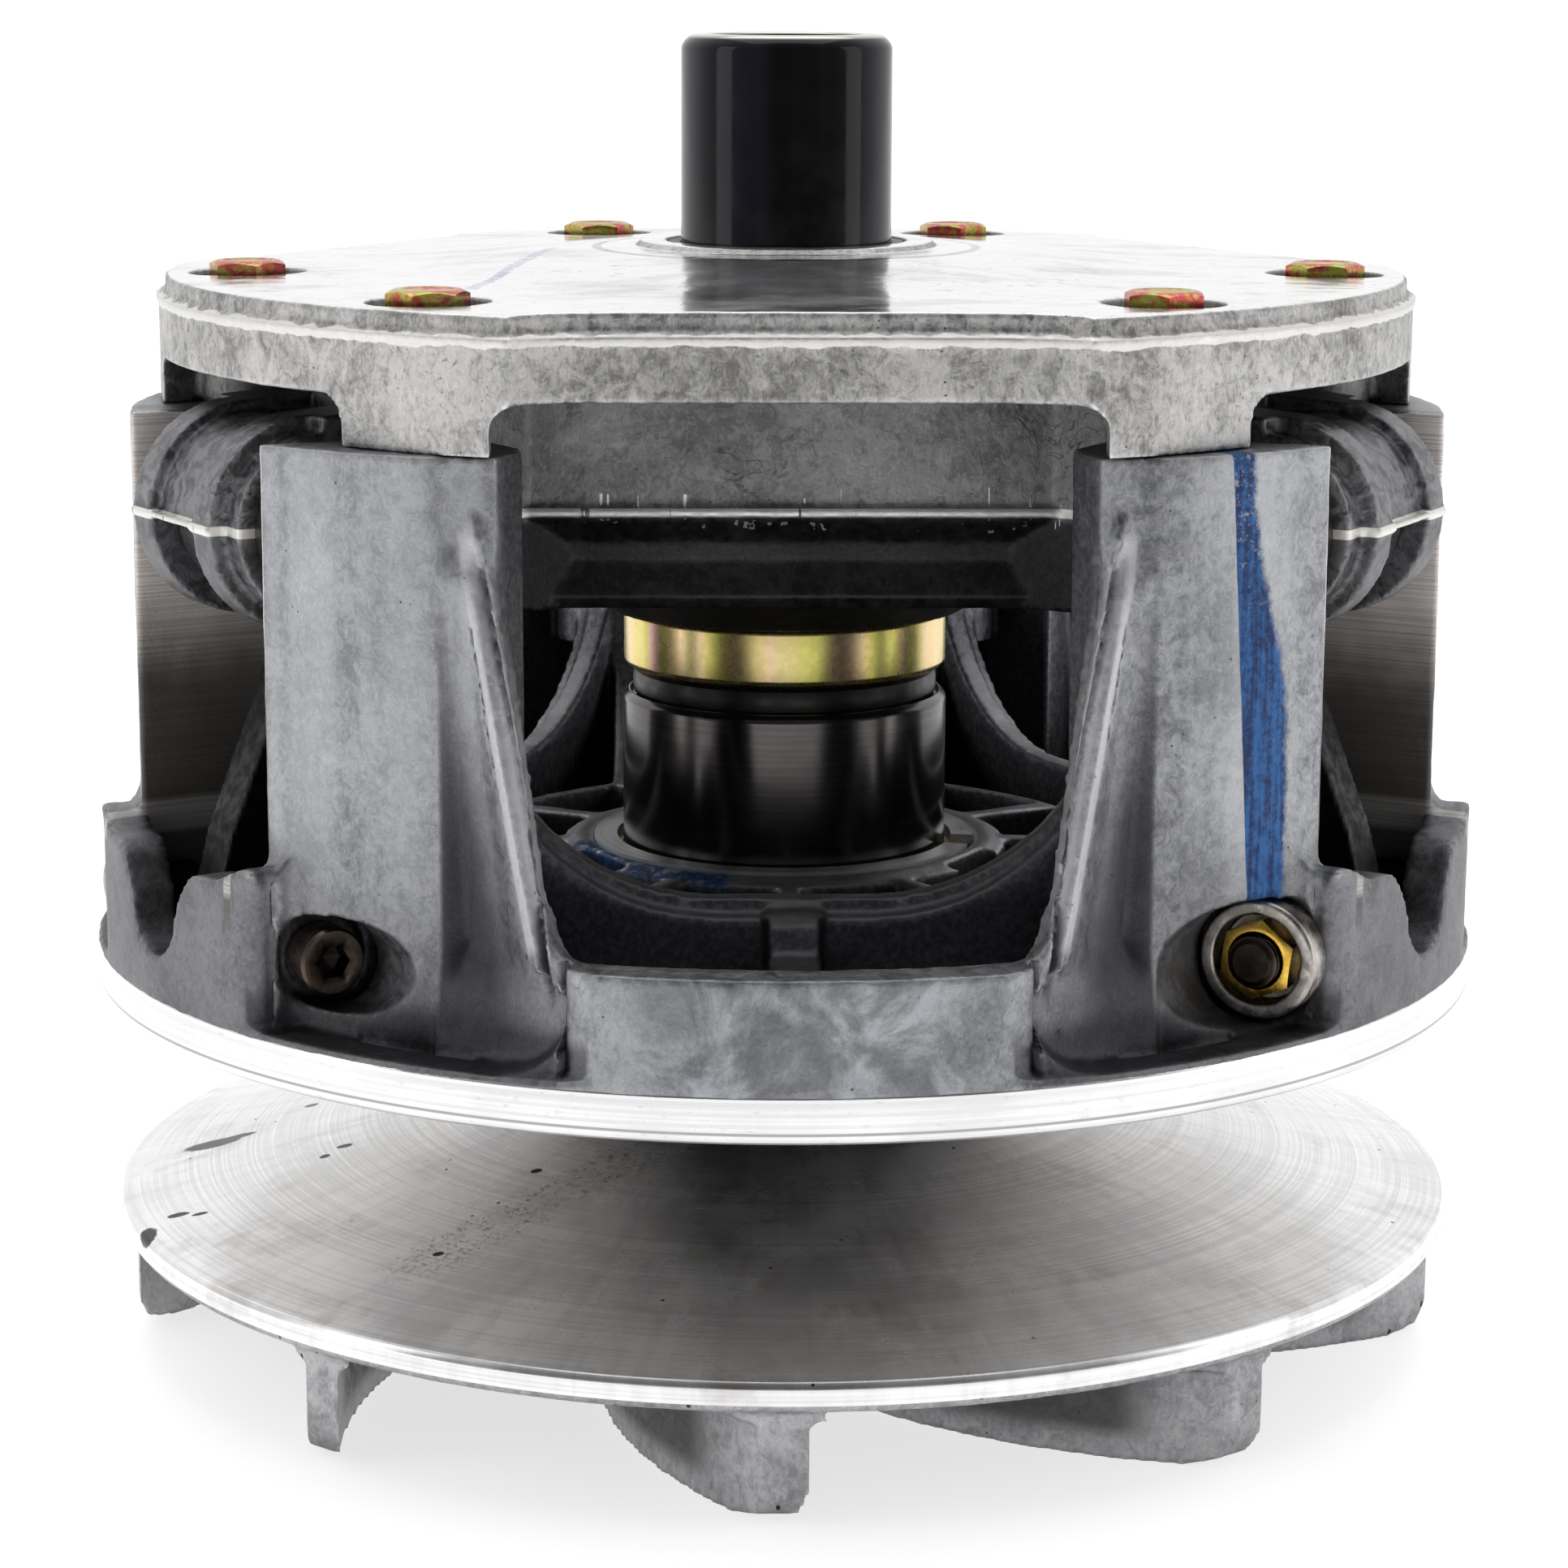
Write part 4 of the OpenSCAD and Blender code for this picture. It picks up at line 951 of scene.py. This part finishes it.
# hub of the moving sheave and of the cover
bore = SLEEVE_R + FIT
add_mesh("sheave_bush_skin", turned([
    (bore, MOVING_LOW + 2), (bore + 3, MOVING_LOW + 2), (bore + 3, HUB_Z - 1.6), (bore, HUB_Z - 1.6)],
    radius=0.5), bronze.mat, "moving", ["sheave_bush"])
bore = POST_R + FIT
add_mesh("cover_bush_skin", turned([
    (bore, 166.2), (bore + 2.2, 166.2), (bore + 2.2, COVER_HUB_Z - 0.4), (bore, COVER_HUB_Z - 0.4)],
    radius=0.5), plastic.mat, "moving", ["cover_bush"])
dress("retaining_ring", bright.mat)
mod = nodes["retaining_ring"].modifiers.new("edge", "BEVEL")
mod.width, mod.segments = 0.25 * MM, 2

# rollers, their pins, washers and buttons
pins, washers, buttons = [], [], []
for i, phi in enumerate(ARMS, 1):
    at = arm_place(phi, ROLLER_AT, ROLLER_Z)
    pins.append(turned([
        (0.4, -19.5), (4.5, -19.5), (ROLLER_PIN_R, -19), (ROLLER_PIN_R, 19), (4.5, 19.5), (0.4, 19.5)],
        at, 0.2, 64, False))
    for side in (-1, 1):
        at = arm_place(phi, ROLLER_AT, ROLLER_Z, side)
        washers.append(turned([(5.02, 7.1), (9, 7.1), (9, 7.9), (5.02, 7.9)], at, 0.2, 64))
        buttons.append(turned([
            (0.4, 19.5), (11.5, 19.5), (11.5, 22.9), (10.6, 23.7), (4, 23.7), (3.2, 23.2), (0.4, 23.2)],
            at, 0.3, 96, False))
    at = arm_place(phi, ROLLER_AT, ROLLER_Z)
    add_mesh(f"roller_{i}_skin", turned([
        (6.6, -6.9), (12.2, -6.9), (13, -6.1), (13, 6.1), (12.2, 6.9), (6.6, 6.9)], at, 0.3),
        hard.mat, f"roller_{i}", [f"roller_{i}"])
    add_mesh(f"roller_bush_{i}_skin", turned([
        (ROLLER_PIN_R + FIT, -6.9), (6.6, -6.9), (6.6, 6.9), (ROLLER_PIN_R + FIT, 6.9)], at, 0.2, 64),
        bronze.mat, f"roller_{i}", [f"roller_bush_{i}"])
add_mesh("roller_pins_skin", join(*pins), hard.mat, "fixed", ["roller_pins"])
add_mesh("thrust_washers_skin", join(*washers), bronze.mat, "fixed", ["thrust_washers"])
add_mesh("spider_buttons_skin", join(*buttons), plastic.mat, "fixed", ["spider_buttons"])

# cover bolts: the threaded shank, then a chamfered hexagon head with a dished top
bolts = []
for phi in ARMS:
    for side in (-1, 1):
        a = math.radians(phi + side * BOLT_ANGLE)
        at = (Matrix.Translation((BOLT_R * MM * math.cos(a), BOLT_R * MM * math.sin(a), 0))
              @ Matrix.Rotation(a + side * 0.35 + phi * 0.01, 4, "Z"))
        rings = [circle_ring(0.3, 140.2, 48), circle_ring(2.7, 140.2, 48)]
        rings = rings + thread_rings(3.1, 0.45, 1.25, 140.8, 160)
        rings += [
            circle_ring(3.1, 173.2, 48), hex_ring(10.9, 173.25, 48, 0.05),
            hex_ring(BOLT_FLATS, 173.5, 48, 0.04), hex_ring(BOLT_FLATS, 177.2, 48, 0.04, 0.5),
            circle_ring(5.0, 177.45, 48), circle_ring(4.2, 177.45, 48),
            circle_ring(3.8, 177.25, 48), circle_ring(0.3, 177.25, 48)]
        bolts.append(skin(rings, False, at))
add_mesh("cover_bolts_skin", join(*bolts), zinc.mat, "moving", ["cover_bolts"])

# weight pins with socket heads, cups and nuts
shanks, cups, nuts = [], [], []
for phi in ARMS:
    at = arm_place(phi, PIN_AT, PIN_Z)
    rings = [circle_ring(0.3, -36.4, 48), circle_ring(2.9, -36.4, 48), circle_ring(3.4, -36.0, 48)]
    rings += thread_rings(PIN_R, 0.55, 1.25, -35.8, -27)
    rings += [circle_ring(r, z, 48) for r, z in (
        (PIN_R, HEAD_IN), (4.9, HEAD_IN), (5.2, HEAD_IN + 0.4), (5.2, HEAD_IN + 5.6), (4.8, HEAD_IN + 6.15),
        (3.2, HEAD_IN + 6.2))]
    rings += [hex_ring(4.7, HEAD_IN + 5.9, 48), hex_ring(4.5, HEAD_IN + 2.8, 48),
              circle_ring(0.3, HEAD_IN + 2.2, 48)]
    shanks.append(skin(rings, False, at))
    at = arm_place(phi, PIN_AT, PIN_Z, -1)
    cups.append(turned([
        (4.0, HEAD_IN), (9.0, HEAD_IN), (9.25, HEAD_IN + 0.4), (9.25, HEAD_IN + 5.2), (8.8, HEAD_IN + 5.65),
        (7.2, HEAD_IN + 5.6), (6.9, HEAD_IN + 5.2), (6.9, HEAD_IN + 1), (4.0, HEAD_IN + 1)], at, 0.3, 96))
    nuts.append(hex_nut(NUT_FLATS, HEAD_IN + 1, HEAD_IN + 5.9, 4.0, at @ Matrix.Rotation(0.4, 4, "Z")))
add_mesh("weight_pins_skin", join(*shanks), dark.mat, "moving", ["weight_pins"])
add_mesh("nut_cups_skin", join(*cups), cup_steel.mat, "moving", ["nut_cups"])
add_mesh("weight_nuts_skin", join(*nuts), nut_zinc.mat, "moving", ["weight_nuts"])

# weights and their bushes
for i, phi in enumerate(ARMS, 1):
    cast_skin(f"flyweight_{i}", weight_steel.mat, 0.45, 2, 0.6)
    add_mesh(f"weight_bush_{i}_skin", turned([
        (WEIGHT_BORE + FIT, -5), (5.5, -5), (5.5, 5), (WEIGHT_BORE + FIT, 5)],
        arm_place(phi, PIN_AT, PIN_Z), 0.2, 64), bronze.mat, f"flyweight_{i}", [f"weight_bush_{i}"])

spring = add_mesh("primary_spring_skin", coil(27.6, 5, NUT_Z, CUP_Z - 0.3, 4), paint.mat,
                  replaces=["primary_spring"])
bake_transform(spring)
